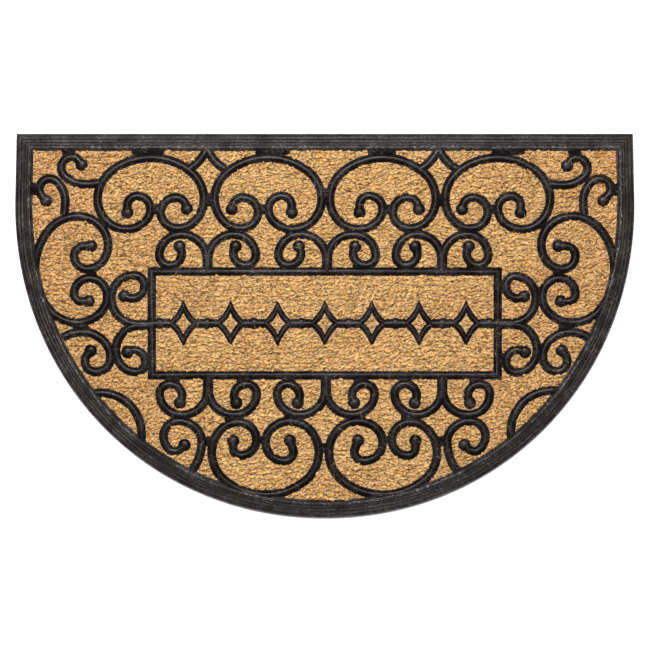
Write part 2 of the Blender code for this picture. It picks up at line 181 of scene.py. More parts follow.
SMALL_SWEEP = arc_chain((40, 75), (50, 45), (45, 41), (45, 28))
SMALL_ARM = (*SMALL_SWEEP, *arc_chain((90, 20.5), (90, 18.5), (75, 12), (0, 6)))
ROUND_ARM = (*SMALL_SWEEP, *arc_chain((90, 22), (90, 19), (90, 9), (0, 9)))
LARGE_SWEEP = arc_chain((-38, 76), (-52, 46), (-45, 40), (-45, 33), (-45, 31), (-45, 24))
LARGE_ARM = (*LARGE_SWEEP, *arc_chain((-90, 16), (-90, 12), (0, 9)))
WIDE_ARM = (*LARGE_SWEEP, *arc_chain((-90, 22.6), (-110, 11), (0, 11)))
STEM_ARM = arc_chain((0, 18), (-90, 31), (-90, 27), (-90, 12.4), (-90, 15), (-20, 10), (0, 6))
CURL = arc_chain((-10, 100), (-45, 35), (-45, 15), (-90, 13.5))
CORNER_ARM = (*CURL, *arc_chain((-60, 9.5), (0, 6)))
HOOK_ARM = (*CURL, *arc_chain((-40, 12), (0, 9.5)))
SIDE_ARM = arc_chain((-35, 38), (-45, 36), (-45, 27), (-90, 17), (-90, 12.5), (-40, 12), (0, 6))
LOWER_ARM = arc_chain((0, 8), (32, 60), (45, 25), (45, 29), (90, 18.5), (45, 24), (45, 8), (45, 12), (0, 6))
PLAIN_ARM = arc_chain((-125, 49.5))
TIE_ARM = arc_chain((-38, 50))

ONE_WAY_RUNS = {
    Bar.STEM: Run(heading=90, arcs=STEM_ARM, ball=True),
    Bar.CORNER: Run(heading=190, arcs=CORNER_ARM, ball=True),
    Bar.HOOK: Run(heading=190, arcs=HOOK_ARM, ball=True),
    Bar.SIDE: Run(heading=35, arcs=SIDE_ARM, ball=True),
    Bar.LOWER: Run(heading=58, arcs=LOWER_ARM, ball=True),
    Bar.PLAIN: Run(heading=18, arcs=PLAIN_ARM, ball=False),
    Bar.TIE: Run(heading=248, arcs=TIE_ARM, ball=False),
}
TWO_WAY_RUNS = {
    Bar.SCROLL: (SMALL_ARM, LARGE_ARM),
    Bar.FLANK: (ROUND_ARM, LARGE_ARM),
    Bar.BASIN: (ROUND_ARM, WIDE_ARM),
}

PLACES = (
    *bars_at(
        Bar.SCROLL,
        (-210.4, 203, 0, -1, 0.958),
        (-68.6, 203, 0, 1.007, 0.958),
        (70.4, 203, 0, -0.997, 0.958),
        (209, 203, 0, 0.986, 0.958),
    ),
    *bars_at(
        Bar.FLANK,
        (-350.5, 67.8, 90, 1, 0.98),
        (350.5, 67.8, -90, -1, 0.98),
    ),
    *bars_at(
        Bar.BASIN,
        (-72.1, -204.8, 0, 1.006, -0.986),
        (70.5, -204.8, 0, -1.017, -0.986),
    ),
    *bars_at(
        Bar.STEM,
        (-142.7, 63.9, 0, -0.991, 0.946),
        (-140.9, 63.9, 0, 0.991, 0.946),
        (1.9, 63.9, 0, -1, 0.946),
        (3.7, 63.9, 0, 1, 0.946),
        (141, 63.9, 0, -0.947, 0.946),
        (142.8, 63.9, 0, 0.947, 0.946),
        (-142, -61.7, 0, -0.997, -0.946),
        (-140.2, -61.7, 0, 0.997, -0.946),
        (0.4, -61.7, 0, -1, -0.946),
        (2.2, -61.7, 0, 1, -0.946),
        (141.2, -61.7, 0, -0.978, -0.946),
        (143, -61.7, 0, 0.978, -0.946),
        (-208.3, 1.7, 90, 1.02, 1.02),
        (-208.3, -0.1, 90, -0.967, 0.907),
        (210.3, 3.1, -90, -0.974, 0.918),
        (210.3, 1.3, -90, 1, 0.949),
    ),
    *bars_at(
        Bar.CORNER,
        (-272.4, 172.5, 0, 1, 0.96),
        (271.3, 171.4, 0, -1, 0.96),
    ),
    *bars_at(
        Bar.HOOK,
        (-315.3, 134, 90, -0.939, 0.912),
        (314, 134, -90, 0.939, 0.965),
    ),
    *bars_at(
        Bar.SIDE,
        (-317, -14.9, 0, 1.05, 1.04),
        (319, -14.8, 0, -1, 1.02),
    ),
    *bars_at(
        Bar.LOWER,
        (-162.1, -177.9, 0, 1, 0.962),
        (161.4, -177.9, 0, -1, 0.962),
    ),
    *bars_at(
        Bar.PLAIN,
        (-286.3, -83.9, 0, 1, 1),
        (289.9, -80.9, 0, -1, 1),
    ),
    *bars_at(
        Bar.TIE,
        (-142.8, 214, 0, 1, 1),
        (-142.2, 214, 0, -1, 1),
        (137.5, 214, 0, 1, 1),
        (138.1, 214, 0, -1, 1),
    ),
)

COLLARS = (
    *collars_at(12, 16, (-141, 152), (139.3, 152)),
    *collars_at(12, 12, (-205.7, 140.7), (201.9, 140.7), (-77.7, 140.5), (75.3, 140.5)),
    *collars_at(22, 9, (-177.2, 115), (171.7, 115), (-106.6, 115), (107.1, 115), (-36, 115), (34.6, 115)),
    *collars_at(
        16,
        7,
        (-186.2, 71.5), (179.7, 71.5), (-99.5, 71.5), (99.1, 71.5),
        (-46.1, 71.5), (41.6, 71.5),
    ),
    *collars_at(40, 8, (-214, 210.5), (222, 210.5)),
    *collars_at(42, 8, (-63, 210.5)),
    *collars_at(34, 8, (69.3, 210.5)),
    *collars_at(16, 8, (-310, 210.8), (302, 210.8)),
    *collars_at(9, 9, (-261.5, 122.6), (264.5, 121.6)),
    *collars_at(12, 12, (-281.9, 64.1), (281.6, 64.1)),
    *collars_at(9, 18, (-261.8, 37.9), (259, 37.9)),
    *collars_at(10, 14, (-256.8, -35.7), (259, -35.7)),
    *collars_at(7, 16, (-216, 47), (216, 47), (-216, -41), (216, -41)),
    *collars_at(20, 9, (-295, -2.8), (292.7, -2.8)),
    *collars_at(
        16,
        7,
        (-183.2, -66.5), (182.7, -66.5), (-98.5, -66.5), (97.1, -66.5),
        (-44.1, -66.5), (42.6, -66.5),
    ),
    *collars_at(
        22,
        9,
        (-175.1, -110.3), (173.7, -110.3), (-110.6, -110.3), (103.1, -110.3),
        (-38, -110.3), (37.6, -110.3),
    ),
    *collars_at(12, 9, (-77.3, -138), (72.5, -138)),
    *collars_at(12, 12, (-144.4, -140), (142.4, -140)),
    *collars_at(10, 16, (-350.5, 165), (350.1, 165)),
    *collars_at(12, 15, (0.8, 158.9)),
    *collars_at(12, 12, (-2.3, -148)),
)


class Graph:
    """A node tree that is being filled in."""

    def __init__(self, tree: bpy.types.NodeTree) -> None:
        """Takes the node tree of a material or a group."""
        self.tree = tree

    def feed(self, node: bpy.types.Node, inputs: dict) -> None:
        """Gives a node its inputs.

        Args:
            node: The node.
            inputs: Values or output sockets for its inputs, by name or number.
        """
        for name, value in inputs.items():
            if isinstance(value, Socket):
                self.tree.links.new(value, node.inputs[name])
            else:
                node.inputs[name].default_value = value

    def add(self, kind: str, inputs: dict | None = None, **settings: object) -> bpy.types.Node:
        """Adds a node.

        Args:
            kind: The node's type name.
            inputs: Values or output sockets for its inputs, by name or number.
            **settings: The node's own settings.

        Returns:
            The new node.
        """
        node = self.tree.nodes.new(kind)
        for name, value in settings.items():
            setattr(node, name, value)
        self.feed(node, inputs or {})
        return node

    def noise(self, vector: Socket, scale: float, detail: float, roughness: float = 0.5) -> Socket:
        """Returns the value of a noise texture."""
        inputs = {"Vector": vector, "Scale": scale, "Detail": detail, "Roughness": roughness}
        return self.add("ShaderNodeTexNoise", inputs).outputs["Fac"]

    def span(self, value: Socket, low: float, high: float, to_low: float, to_high: float) -> Socket:
        """Returns the value carried from one range to another, and clamped there."""
        inputs = {"Value": value, "From Min": low, "From Max": high, "To Min": to_low, "To Max": to_high}
        return self.add("ShaderNodeMapRange", inputs).outputs["Result"]

    def maths(self, operation: str, *values: Socket | float) -> Socket:
        """Returns the result of a sum on two or three values."""
        return self.add("ShaderNodeMath", dict(enumerate(values)), operation=operation).outputs["Value"]

    def blend(self, share: object, first: object, second: object, way: str = "MIX") -> Socket:
        """Returns a mix of two colours.

        Args:
            share: How much of the second colour, from 0 to 1.
            first: The first colour, as a socket or four numbers.
            second: The second colour.
            way: The blend type.

        Returns:
            The socket of the mixed colour.
        """
        node = self.add("ShaderNodeMix", data_type="RGBA", blend_type=way)
        shown = [number for number, socket in enumerate(node.inputs) if socket.enabled]
        self.feed(node, dict(zip(shown, (share, first, second))))
        return next(socket for socket in node.outputs if socket.enabled)

    def scaled(self, vector: Socket, scale: Sequence[float], turn: float = 0) -> Socket:
        """Returns the vector turned about Z by an angle in radians and then stretched."""
        inputs = {"Vector": vector, "Scale": tuple(scale), "Rotation": (0, 0, turn)}
        return self.add("ShaderNodeMapping", inputs).outputs["Vector"]

    def bump(self, height: Socket, distance: float, strength: float) -> Socket:
        """Returns the normal of a bump of this depth."""
        inputs = {"Height": height, "Distance": distance, "Strength": strength}
        return self.add("ShaderNodeBump", inputs).outputs["Normal"]


def group_tree(name: str, inputs: Iterable[tuple[str, str]], outputs: Iterable[str]) -> bpy.types.NodeTree:
    """Makes an empty shader node group.

    Args:
        name: The group's name.
        inputs: The name and socket type of each input.
        outputs: The names of the outputs, which are all values.

    Returns:
        The group's tree, with its input and output nodes.
    """
    tree = bpy.data.node_groups.new(name, "ShaderNodeTree")
    for label, kind in inputs:
        tree.interface.new_socket(label, in_out="INPUT", socket_type=kind)
    for label in outputs:
        tree.interface.new_socket(label, in_out="OUTPUT", socket_type="NodeSocketFloat")
    tree.nodes.new("NodeGroupInput")
    tree.nodes.new("NodeGroupOutput")
    return tree


class RubberWear:
    """The group for moulded rubber's mottling, dust and brush lines, as three masks; on the border's top rib
    the dust is partly painted highlight.
    """

    MOTTLE_SCALE = 620.0
    MOTTLE_SHARE = 0.65
    CLOUD_SCALE = 60.0
    LINE_SCALE = 17.0
    LINE_STRETCH = 30.0
    SPECK_SCALE = 210.0
    SPECK_STRETCH = 4.2
    SPECK_SPAN = (0.52, 0.64)
    CLOUD_SPAN = (0.4, 0.6)
    LEAST_DUST = 0.1

    def __init__(self) -> None:
        """Builds the group once."""
        inputs = (("Place", "NodeSocketVector"), ("Run", "NodeSocketVector"))
        self.tree = group_tree("rubber_wear", inputs, ("Mottle", "Dust", "Lines"))
        graph = Graph(self.tree)
        start = self.tree.nodes["Group Input"].outputs
        grain = graph.noise(start["Place"], self.MOTTLE_SCALE, detail=3, roughness=0.6)
        cloud = graph.noise(start["Place"], self.CLOUD_SCALE, detail=2)
        soft = graph.maths("MULTIPLY", cloud, 1 - self.MOTTLE_SHARE)
        mottle = graph.maths("MULTIPLY_ADD", grain, self.MOTTLE_SHARE, soft)
        line_place = graph.scaled(start["Run"], (1, self.LINE_STRETCH, 1))
        lines = graph.noise(line_place, self.LINE_SCALE, detail=4, roughness=0.6)
        speck_place = graph.scaled(start["Run"], (1, self.SPECK_STRETCH, 1))
        specks = graph.noise(speck_place, self.SPECK_SCALE, detail=3, roughness=0.7)
        speck_mask = graph.span(specks, *self.SPECK_SPAN, 0, 1)
        cloud_mask = graph.span(cloud, *self.CLOUD_SPAN, self.LEAST_DUST, 1)
        dust = graph.maths("MULTIPLY", speck_mask, cloud_mask)
        graph.feed(self.tree.nodes["Group Output"], {"Mottle": mottle, "Dust": dust, "Lines": lines})


class FibreStreaks:
    """The group for the fine lengthwise streaks of coir, as a value from 0 to 1."""

    SPAN = (0.28, 0.72)

    def __init__(self) -> None:
        """Builds the group once."""
        inputs = (
            ("Fibre Map", "NodeSocketVector"),
            ("Across", "NodeSocketFloat"),
            ("Along", "NodeSocketFloat"),
        )
        self.tree = group_tree("fibre_streaks", inputs, ("Streak",))
        graph = Graph(self.tree)
        start = self.tree.nodes["Group Input"].outputs
        stretch = graph.add("ShaderNodeCombineXYZ", {"X": start["Across"], "Y": start["Along"], "Z": 1.0})
        sides = {0: start["Fibre Map"], 1: stretch.outputs["Vector"]}
        product = graph.add("ShaderNodeVectorMath", sides, operation="MULTIPLY")
        streak = graph.noise(product.outputs["Vector"], scale=1, detail=3, roughness=0.6)
        graph.feed(self.tree.nodes["Group Output"], {"Streak": graph.span(streak, *self.SPAN, 0, 1)})


def new_finish(name: str) -> tuple[Material, Graph, bpy.types.Node]:
    """Makes a material with nodes.

    Args:
        name: The material's name.

    Returns:
        The material, its graph and its shader.
    """
    material = bpy.data.materials.new(name)
    material.use_nodes = True
    return material, Graph(material.node_tree), material.node_tree.nodes["Principled BSDF"]


@dataclass(frozen=True)
class RubberFinish:
    """Black moulded rubber, a little grey where it is worn, with painted shade and highlight: its gloss
    falls off on the low parts, the border's grooves are darkened, and on the border's top rib the dust is
    partly painted highlight. The values given here are those of the bars.
    """

    name: str
    colour: Colour = (0.0022, 0.0016, 0.0018)
    worn: Colour = (0.0125, 0.0096, 0.0098)
    # On the border's top rib the dust colour is partly painted highlight along the crest.
    dust: Colour = (0.27, 0.25, 0.235)
    mottle_span: Point = (0.36, 0.68)
    line_span: Point = (0.46, 0.66)
    roughness: Point = (0.28, 0.42)
    lines: float = 0.15
    dust_share: float = 0.25
    specular: float = 0.2
    # Painted shade: below shaded_below the gloss falls to shaded_specular, so that the low parts read as
    # shaded.
    shaded_specular: float = 0.012
    shaded_below: float = 9.4 * MM
    open_above: float = 10.2 * MM
    uneven_gloss: Point = (0.55, 1.45)
    tint: Colour = (1.0, 0.9, 0.9)
    grain_depth: float = 0.22 * MM
    line_depth: float = 0.3 * MM
    bump_strength: float = 0.8
    follows_edge: bool = False
    top_rib: tuple[float, ...] = (14 * MM, 15.6 * MM, 17.8 * MM, 19 * MM)
    dust_and_highlight_elsewhere: float = 0.35
    groove_reach: float = 0.9 * MM
    # Painted shade: the grey by which the grooves' colour and gloss are multiplied.
    groove_shade_grey: float = 0.22
    map_width: float = 30 * MM

    def make(self, wear: RubberWear) -> Material:
        """Makes the material.

        Args:
            wear: The shared group of mottling, dust and lines.

        Returns:
            The material.
        """
        material, graph, shader = new_finish(self.name)
        place = graph.add("ShaderNodeTexCoord").outputs["Object"]
        run = place
        if self.follows_edge:
            run = graph.add("ShaderNodeAttribute", attribute_name="run").outputs["Vector"]
        masks = graph.add("ShaderNodeGroup", {"Place": place, "Run": run}, node_tree=wear.tree).outputs
        mottle = graph.span(masks["Mottle"], *self.mottle_span, 0, 1)
        lines = graph.span(masks["Lines"], *self.line_span, 0, self.lines)
        worn = graph.maths("ADD", graph.maths("MULTIPLY", mottle, 1 - self.lines), lines)
        colour = graph.blend(worn, (*self.colour, 1), (*self.worn, 1))
        dust = graph.maths("MULTIPLY", masks["Dust"], self.dust_share)
        height = graph.add("ShaderNodeSeparateXYZ", {"Vector": place}).outputs["Z"]
        # Painted shade: the gloss falls off on the low parts, the bars' skirts and the balls' sides, so that
        # they read as shaded.
        gloss_with_painted_shade = graph.span(height, self.shaded_below, self.open_above, self.shaded_specular, self.specular)
        gloss_with_painted_shade = graph.maths("MULTIPLY", gloss_with_painted_shade, graph.span(mottle, 0, 1, *self.uneven_gloss))
        if self.follows_edge:
            inwards = graph.add("ShaderNodeSeparateXYZ", {"Vector": run}).outputs["Y"]
            # On the border the dust is gathered on the top rib's crest, where it is partly painted
            # highlight.
            dust = graph.maths("MULTIPLY", dust, self.top_rib_dust_and_highlight(graph, inwards))
            # Painted shade: the grooves between the ribs dim the gloss here and darken the colour below.
            groove_shade = self.painted_groove_shade(graph, inwards)
            gloss_with_painted_shade = graph.maths("MULTIPLY", gloss_with_painted_shade, groove_shade)
        colour = graph.blend(dust, colour, (*self.dust, 1))
        # Painted shade: the border's colour is darkened in the grooves between its ribs.
        if self.follows_edge:
            colour = graph.blend(1, colour, groove_shade, "MULTIPLY")
        grain = graph.maths("MULTIPLY", masks["Mottle"], self.grain_depth / MM)
        relief = graph.maths("MULTIPLY_ADD", masks["Lines"], self.line_depth / MM, grain)
        inputs = {
            "Base Color": colour,
            "Roughness": graph.span(worn, 0, 1, *self.roughness),
            "Specular IOR Level": gloss_with_painted_shade,
            "Specular Tint": (*self.tint, 1),
            "Normal": graph.bump(relief, MM, self.bump_strength),
        }
        graph.feed(shader, inputs)
        return material

    def top_rib_dust_and_highlight(self, graph: Graph, inwards: Socket) -> Socket:
        """Returns 1 on the border's highest rib, where dust shows most, and less elsewhere; along that crest
        the dust is partly painted highlight.
        """
        outer = graph.span(inwards, *self.top_rib[:2], self.dust_and_highlight_elsewhere, 1)
        return graph.maths("MULTIPLY", outer, graph.span(inwards, *self.top_rib[2:], 1, self.dust_and_highlight_elsewhere))

    def painted_groove_shade(self, graph: Graph, inwards: Socket) -> Socket:
        """Finds how open each place of the border is to the light, as painted shade in the grooves between
        the ribs.

        Args:
            graph: The material's graph.
            inwards: The distance from the mat's edge.

        Returns:
            The socket of a grey that is darker in the grooves between the ribs, which paints their shade.
        """
        ramp = graph.add("ShaderNodeValToRGB", {"Fac": graph.maths("DIVIDE", inwards, self.map_width)})
        stops = ramp.color_ramp.elements
        stops[0].color = (1, 1, 1, 1)
        for rib in RIBS[:-1]:
            for offset, light in ((-self.groove_reach, 1), (0, self.groove_shade_grey), (self.groove_reach, 1)):
                stop = stops.new((rib.end * MM + offset) / self.map_width)
                stop.color = (light, light, light, 1)
        return ramp.outputs["Color"]


@dataclass(frozen=True)
class CoirFinish:
    """Coir fibre. The mesh's shade runs from dark to pale, and its warmth from straw to red-brown."""

    name: str
    # The dark end is reached by the dark flecks, which are partly painted shade between the rows.
    dark: Colour = (0.08, 0.034, 0.013)
    mid: Colour = (0.6, 0.325, 0.1)
    pale: Colour = (0.92, 0.64, 0.275)
    warm: Colour = (0.6, 0.25, 0.075)
    straw: Colour = (0.74, 0.55, 0.2)
    middle: float = 0.5
    most_warm: float = 0.6
    most_straw: float = 0.45
    roughness: float = 0.78
    specular: float = 0.25
    across: float = 480.0
    along: float = 250.0
    streak_share: float = 1.35
    streak_depth: float = 0.18 * MM
    bump_strength: float = 0.7

    def make(self, streaks: FibreStreaks) -> Material:
        """Makes the material.

        Args:
            streaks: The shared group of fibre streaks.

        Returns:
            The material.
        """
        material, graph, shader = new_finish(self.name)
        fibre_map = graph.add("ShaderNodeUVMap", uv_map=FIBRE_MAP).outputs["UV"]
        shade = graph.add("ShaderNodeAttribute", attribute_name="shade").outputs["Fac"]
        warmth = graph.add("ShaderNodeAttribute", attribute_name="warmth").outputs["Fac"]
        inputs = {"Fibre Map": fibre_map, "Across": self.across, "Along": self.along}
        streak = graph.add("ShaderNodeGroup", inputs, node_tree=streaks.tree).outputs["Streak"]
        half = self.streak_share / 2
        tone = graph.maths("ADD", shade, graph.span(streak, 0, 1, -half, half))
        ramp = graph.add("ShaderNodeValToRGB", {"Fac": tone})
        stops = ramp.color_ramp.elements
        stops[0].color = (*self.dark, 1)
        stops[1].color = (*self.pale, 1)
        stops.new(self.middle).color = (*self.mid, 1)
        red = graph.span(warmth, self.middle, 1, 0, self.most_warm)
        yellow = graph.span(warmth, self.middle, 0, 0, self.most_straw)
        colour = graph.blend(red, ramp.outputs["Color"], (*self.warm, 1))
        inputs = {
            "Base Color": graph.blend(yellow, colour, (*self.straw, 1)),
            "Roughness": self.roughness,
            "Specular IOR Level": self.specular,
            "Normal": graph.bump(streak, self.streak_depth, self.bump_strength),
        }
        graph.feed(shader, inputs)
        return material


@dataclass(frozen=True)
class BackingFinish:
    """The matted fibre under the yarn, which shows only in the gaps, coloured darker than the yarn in part
    as painted shade in those gaps.
    """

    name: str
    # Painted shade, in part: the backing is darker than the yarn so that the gaps between the rows read
    # dark.
    dark: Colour = (0.1, 0.045, 0.016)
    pale: Colour = (0.6, 0.36, 0.15)
    roughness: float = 0.9
    scale: float = 300
    stretch: float = 2.4
    slant: float = -20
    fibre_span: Point = (0.4, 0.56)
    fuzz_depth: float = 0.5 * MM
    bump_strength: float = 0.8

    def make(self) -> Material:
        """Makes the material and returns it."""
        material, graph, shader = new_finish(self.name)
        place = graph.add("ShaderNodeTexCoord").outputs["Object"]
        lengthened = graph.scaled(place, (1, self.stretch, 1), math.radians(self.slant))
        matted = graph.noise(lengthened, self.scale, detail=3, roughness=0.6)
        share = graph.span(matted, *self.fibre_span, 0, 1)
        inputs = {
            "Base Color": graph.blend(share, (*self.dark, 1), (*self.pale, 1)),
            "Roughness": self.roughness,
            "Normal": graph.bump(matted, self.fuzz_depth, self.bump_strength),
        }
        graph.feed(shader, inputs)
        return material


@dataclass(frozen=True)
class FloorFinish:
    """Plain white paint."""

    name: str
    colour: Colour = (0.93, 0.93, 0.93)
    roughness: float = 0.9
    specular: float = 0.1

    def make(self) -> Material:
        """Makes the material and returns it."""
        material, graph, shader = new_finish(self.name)
        colour = (*self.colour, 1)
        inputs = {"Base Color": colour, "Roughness": self.roughness, "Specular IOR Level": self.specular}
        graph.feed(shader, inputs)
        return material


def link_object(name: str, data: bpy.types.ID) -> Piece:
    """Makes an object of the data in the scene."""
    obj = bpy.data.objects.new(name, data)
    bpy.context.scene.collection.objects.link(obj)
    return obj


def plain_mesh(name: str, bm: BMesh) -> Mesh:
    """Makes a mesh of the bmesh, and frees the bmesh."""
    mesh = bpy.data.meshes.new(name)
    bm.to_mesh(mesh)
    bm.free()
    return mesh


def take_mesh(bm: BMesh, mesh: Mesh) -> None:
    """Puts the mesh's shape into the bmesh, and removes the mesh."""
    bm.from_mesh(mesh)
    bpy.data.meshes.remove(mesh)


def mesh_object(name: str, bm: BMesh, material: Material, sharp: float) -> Piece:
    """Makes a smooth-shaded object from a bmesh, with its faces turned outwards.

    Args:
        name: The object's name.
        bm: The mesh, which is freed.
        material: Its finish.
        sharp: The angle in degrees past which an edge stays sharp.

    Returns:
        The new object.
    """
    bmesh.ops.recalc_face_normals(bm, faces=bm.faces)
    for face in bm.faces:
        face.smooth = True
    mesh = plain_mesh(name, bm)
    mesh.set_sharp_from_angle(angle=math.radians(sharp))
    mesh.materials.append(material)
    return link_object(name, mesh)


def parts(found: Iterable, kind: type) -> list:
    """Returns the parts of an operator's result that are of one kind."""
    return [part for part in found if isinstance(part, kind)]


def circle(x: float, y: float, radius: float) -> list[Point]:
    """Returns points round a circle."""
    turns = [math.tau * step / CIRCLE_STEPS for step in range(CIRCLE_STEPS)]
    return [(x + radius * math.cos(turn), y + radius * math.sin(turn)) for turn in turns]


def dress(obj: Piece, slot: Slot, *nodes: Node) -> Piece:
    """Makes a piece ride on the root body, hides the frame's parts that it stands for and logs its faces.

    Args:
        obj: The piece.
        slot: Not used.
        *nodes: The nodes that it stands for.

    Returns:
        The piece.
    """
    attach(obj, Body.ROOT.value)
    if nodes:
        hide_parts(*[node.value for node in nodes])
    LOG.info("%s: %d faces", obj.name, len(obj.data.polygons))
    return obj


def flat_face(bm: BMesh, outline: Iterable[Point], height: float) -> bmesh.types.BMFace:
    """Returns one face over the outline at this height."""
    face = bm.faces.new([bm.verts.new((x, y, height)) for x, y in outline])
    face.normal_update()
    return face


def rise(bm: BMesh, outline_at: Outline, section: Sequence[Point]) -> bmesh.types.BMFace:
    """Carries a face inwards and up through a cross-section, and leaves a wall behind it.

    Args:
        bm: The mesh.
        outline_at: Gives the outline at a distance inwards, with the same number of points each time.
        section: The cross-section, as distances inwards and heights.

    Returns:
        The face, at the end of the section.
    """
    (inwards, height), *others = section
    face = flat_face(bm, outline_at(inwards), height)
    for inwards, height in others:
        bmesh.ops.inset_region(bm, faces=[face], thickness=0, use_boundary=True)
        for vert, (x, y) in zip(face.verts, outline_at(inwards)):
            vert.co = (x, y, height)
    return face


@dataclass(frozen=True)
class MatShape:
    """The mat's outline: a straight edge, two short sides and a fuller half ellipse."""

    edge_half_width: float = 373.2 * MM
    widest_half_width: float = 375 * MM
    straight_edge_y: float = 232.25 * MM
    curve_top_y: float = 147.6 * MM
    curve_depth: float = 379.85 * MM
    fullness: float = 2.045
    edge_steps: int = 100
    side_steps: int = 12
    curve_steps: int = 190

    def straight(self, start: Point, end: Point, steps: int) -> list[Point]:
        """Returns evenly spaced points from start up to, but not with, end."""
        return [tuple(Vector(start).lerp(Vector(end), step / steps)) for step in range(steps)]

    def corners(self) -> list[Point]:
        """Returns the straight edge's right and left ends and the points of the curve, counter-clockwise."""
        curve = []
        for step in range(self.curve_steps + 1):
            angle = math.pi * step / self.curve_steps
            across = math.copysign(abs(math.cos(angle)) ** (2 / self.fullness), math.cos(angle))
            down = max(0, math.sin(angle)) ** (2 / self.fullness)
            curve.append((-self.widest_half_width * across, self.curve_top_y - self.curve_depth * down))
        ends = [(half, self.straight_edge_y) for half in (self.edge_half_width, -self.edge_half_width)]
        return [*ends, *curve]

    def outline(self, inset: float = 0) -> list[Point]:
        """Returns the outline moved inwards by a distance, with as many points each time.

        Args:
            inset: The distance.

        Returns:
            The outline, counter-clockwise.
        """
        corners = np.array(self.corners())
        along = np.roll(corners, -1, axis=0) - corners
        along /= np.linalg.norm(along, axis=1, keepdims=True)
        inwards = np.stack([-along[:, 1], along[:, 0]], axis=1)
        before = np.roll(inwards, 1, axis=0)
        mitre = (inwards + before) / (1 + np.sum(inwards * before, axis=1, keepdims=True))
        right, left, *curve = [tuple(point) for point in (corners + mitre * inset).tolist()]
        return [
            *self.straight(right, left, self.edge_steps),
            *self.straight(left, curve[0], self.side_steps),
            *curve[:-1],
            *self.straight(curve[-1], right, self.side_steps),
        ]


def dense_line(points: Sequence[Point], closed: bool, spacing: float) -> list[Point]:
    """Returns a line's points with more put in, so that none lie further apart than the spacing.

    Args:
        points: The line's points.
        closed: Whether the last point joins the first.
        spacing: The longest step between two points.

    Returns:
        The points with those put in.
    """
    ends = [*points[1:], points[0]] if closed else points[1:]
    found = []
    for start, end in zip(points, ends):
        steps = max(1, math.ceil(math.dist(start, end) / spacing))
        found.extend(tuple(Vector(start).lerp(Vector(end), step / steps)) for step in range(steps))
    return [*found, ends[-1]]


def tree_of(points: Sequence[Point]) -> KDTree:
    """Returns a search tree of flat points.

    Args:
        points: The points.

    Returns:
        The tree.
    """
    tree = KDTree(len(points))
    for index, (x, y) in enumerate(points):
        tree.insert((x, y, 0), index)
    tree.balance()
    return tree


def distances(tree: KDTree, x: Array, y: Array) -> Array:
    """Returns how far each place lies from the nearest point of a search tree."""
    found = [tree.find((a, b, 0))[2] for a, b in zip(x.ravel().tolist(), y.ravel().tolist())]
    return np.array(found).reshape(x.shape)


class Ground:
    """How far each place on the mat lies from the nearest bar's middle and from the mat's edge."""

    SPACING = 0.8 * MM

    def __init__(
        self, shape: MatShape, lines: Iterable[tuple[Sequence[Point], bool]], spots: Sequence[Point]
    ) -> None:
        """Takes what covers the coir.

        Args:
            shape: The mat's outline.
            lines: The middle line of each bar, and whether it is closed.
            spots: More points that are covered as a bar's middle is.
        """
        self.edge = tree_of(dense_line(shape.outline(), True, self.SPACING))
        covered = list(spots)
        for line, closed in lines:
            covered.extend(dense_line(line, closed, self.SPACING))
        self.bars = tree_of(covered)

    def from_bars(self, x: Array, y: Array) -> Array:
        """Returns the distance of each place from the nearest bar's middle."""
        return distances(self.bars, x, y)

    def from_edge(self, x: Array, y: Array) -> Array:
        """Returns the distance of each place from the mat's edge."""
        return distances(self.edge, x, y)


@dataclass
class Border:
    """The base sheet with the ribbed border round it, in one piece."""

    shape: MatShape
    samples: int = 10
    ripple: float = 0.05 * MM
    ripple_pitch: float = 1.5 * MM
    width: float = 21 * MM
    sheet_top: float = 2 * MM
    run_step: float = 1 * MM
    sharp_angle: float = 46

    def profile(self) -> list[Point]:
        """Returns the cross-section from the outer wall's top, as distances inwards and heights."""
        section = []
        for rib in RIBS:
            middle = (rib.start_height + rib.end_height) / 2
            for step in range(self.samples):
                along = (1 - math.cos(math.pi * step / self.samples)) / 2
                bulge = (1 - abs(2 * along - 1) ** rib.roundness) ** (1 / rib.roundness)
                height = rib.start_height + (rib.end_height - rib.start_height) * along
                inwards = (rib.start + (rib.end - rib.start) * along) * MM
                rippled = self.ripple * bulge * math.sin(math.tau * inwards / self.ripple_pitch)
                section.append((inwards, (height + (rib.crown - middle) * bulge) * MM + rippled))
        return [*section, (RIBS[-1].end * MM, RIBS[-1].end_height * MM), (self.width, self.sheet_top)]

    def height_at(self, inwards: Array) -> Array:
        """Returns the border's height at distances from the mat's edge."""
        section = np.array(self.profile())
        return np.interp(inwards, section[:, 0], section[:, 1])

    def build(self, material: Material) -> Piece:
        """Builds the piece.

        Args:
            material: The rubber's finish, which reads the attribute run.

        Returns:
            The piece.
        """
        bm = bmesh.new()
        section = [(0, 0), *self.profile()]
        rise(bm, self.shape.outline, section)
        rims = [edge for edge in bm.edges if edge.is_boundary]
        bmesh.ops.holes_fill(bm, edges=rims)
        piece = mesh_object("ribbed_border", bm, material, self.sharp_angle)
        self.write_run(piece.data)
        return dress(piece, Slot.RUBBER, Node.MOULDING)

    def write_run(self, mesh: Mesh) -> None:
        """Writes the attribute run: how far round the mat each point lies, and how far inwards.

        Args:
            mesh: The border's mesh.
        """
        rim = dense_line(self.shape.outline(), True, self.run_step)
        walked = np.cumsum([0, *(math.dist(start, end) for start, end in zip(rim, rim[1:]))])
        tree = tree_of(rim)
        values = []
        for vert in mesh.vertices:
            _, index, distance = tree.find((vert.co.x, vert.co.y, 0))
            values.extend((walked[index], distance, 0))
        attribute = mesh.attributes.new("run", "FLOAT_VECTOR", "POINT")
        attribute.data.foreach_set("vector", values)


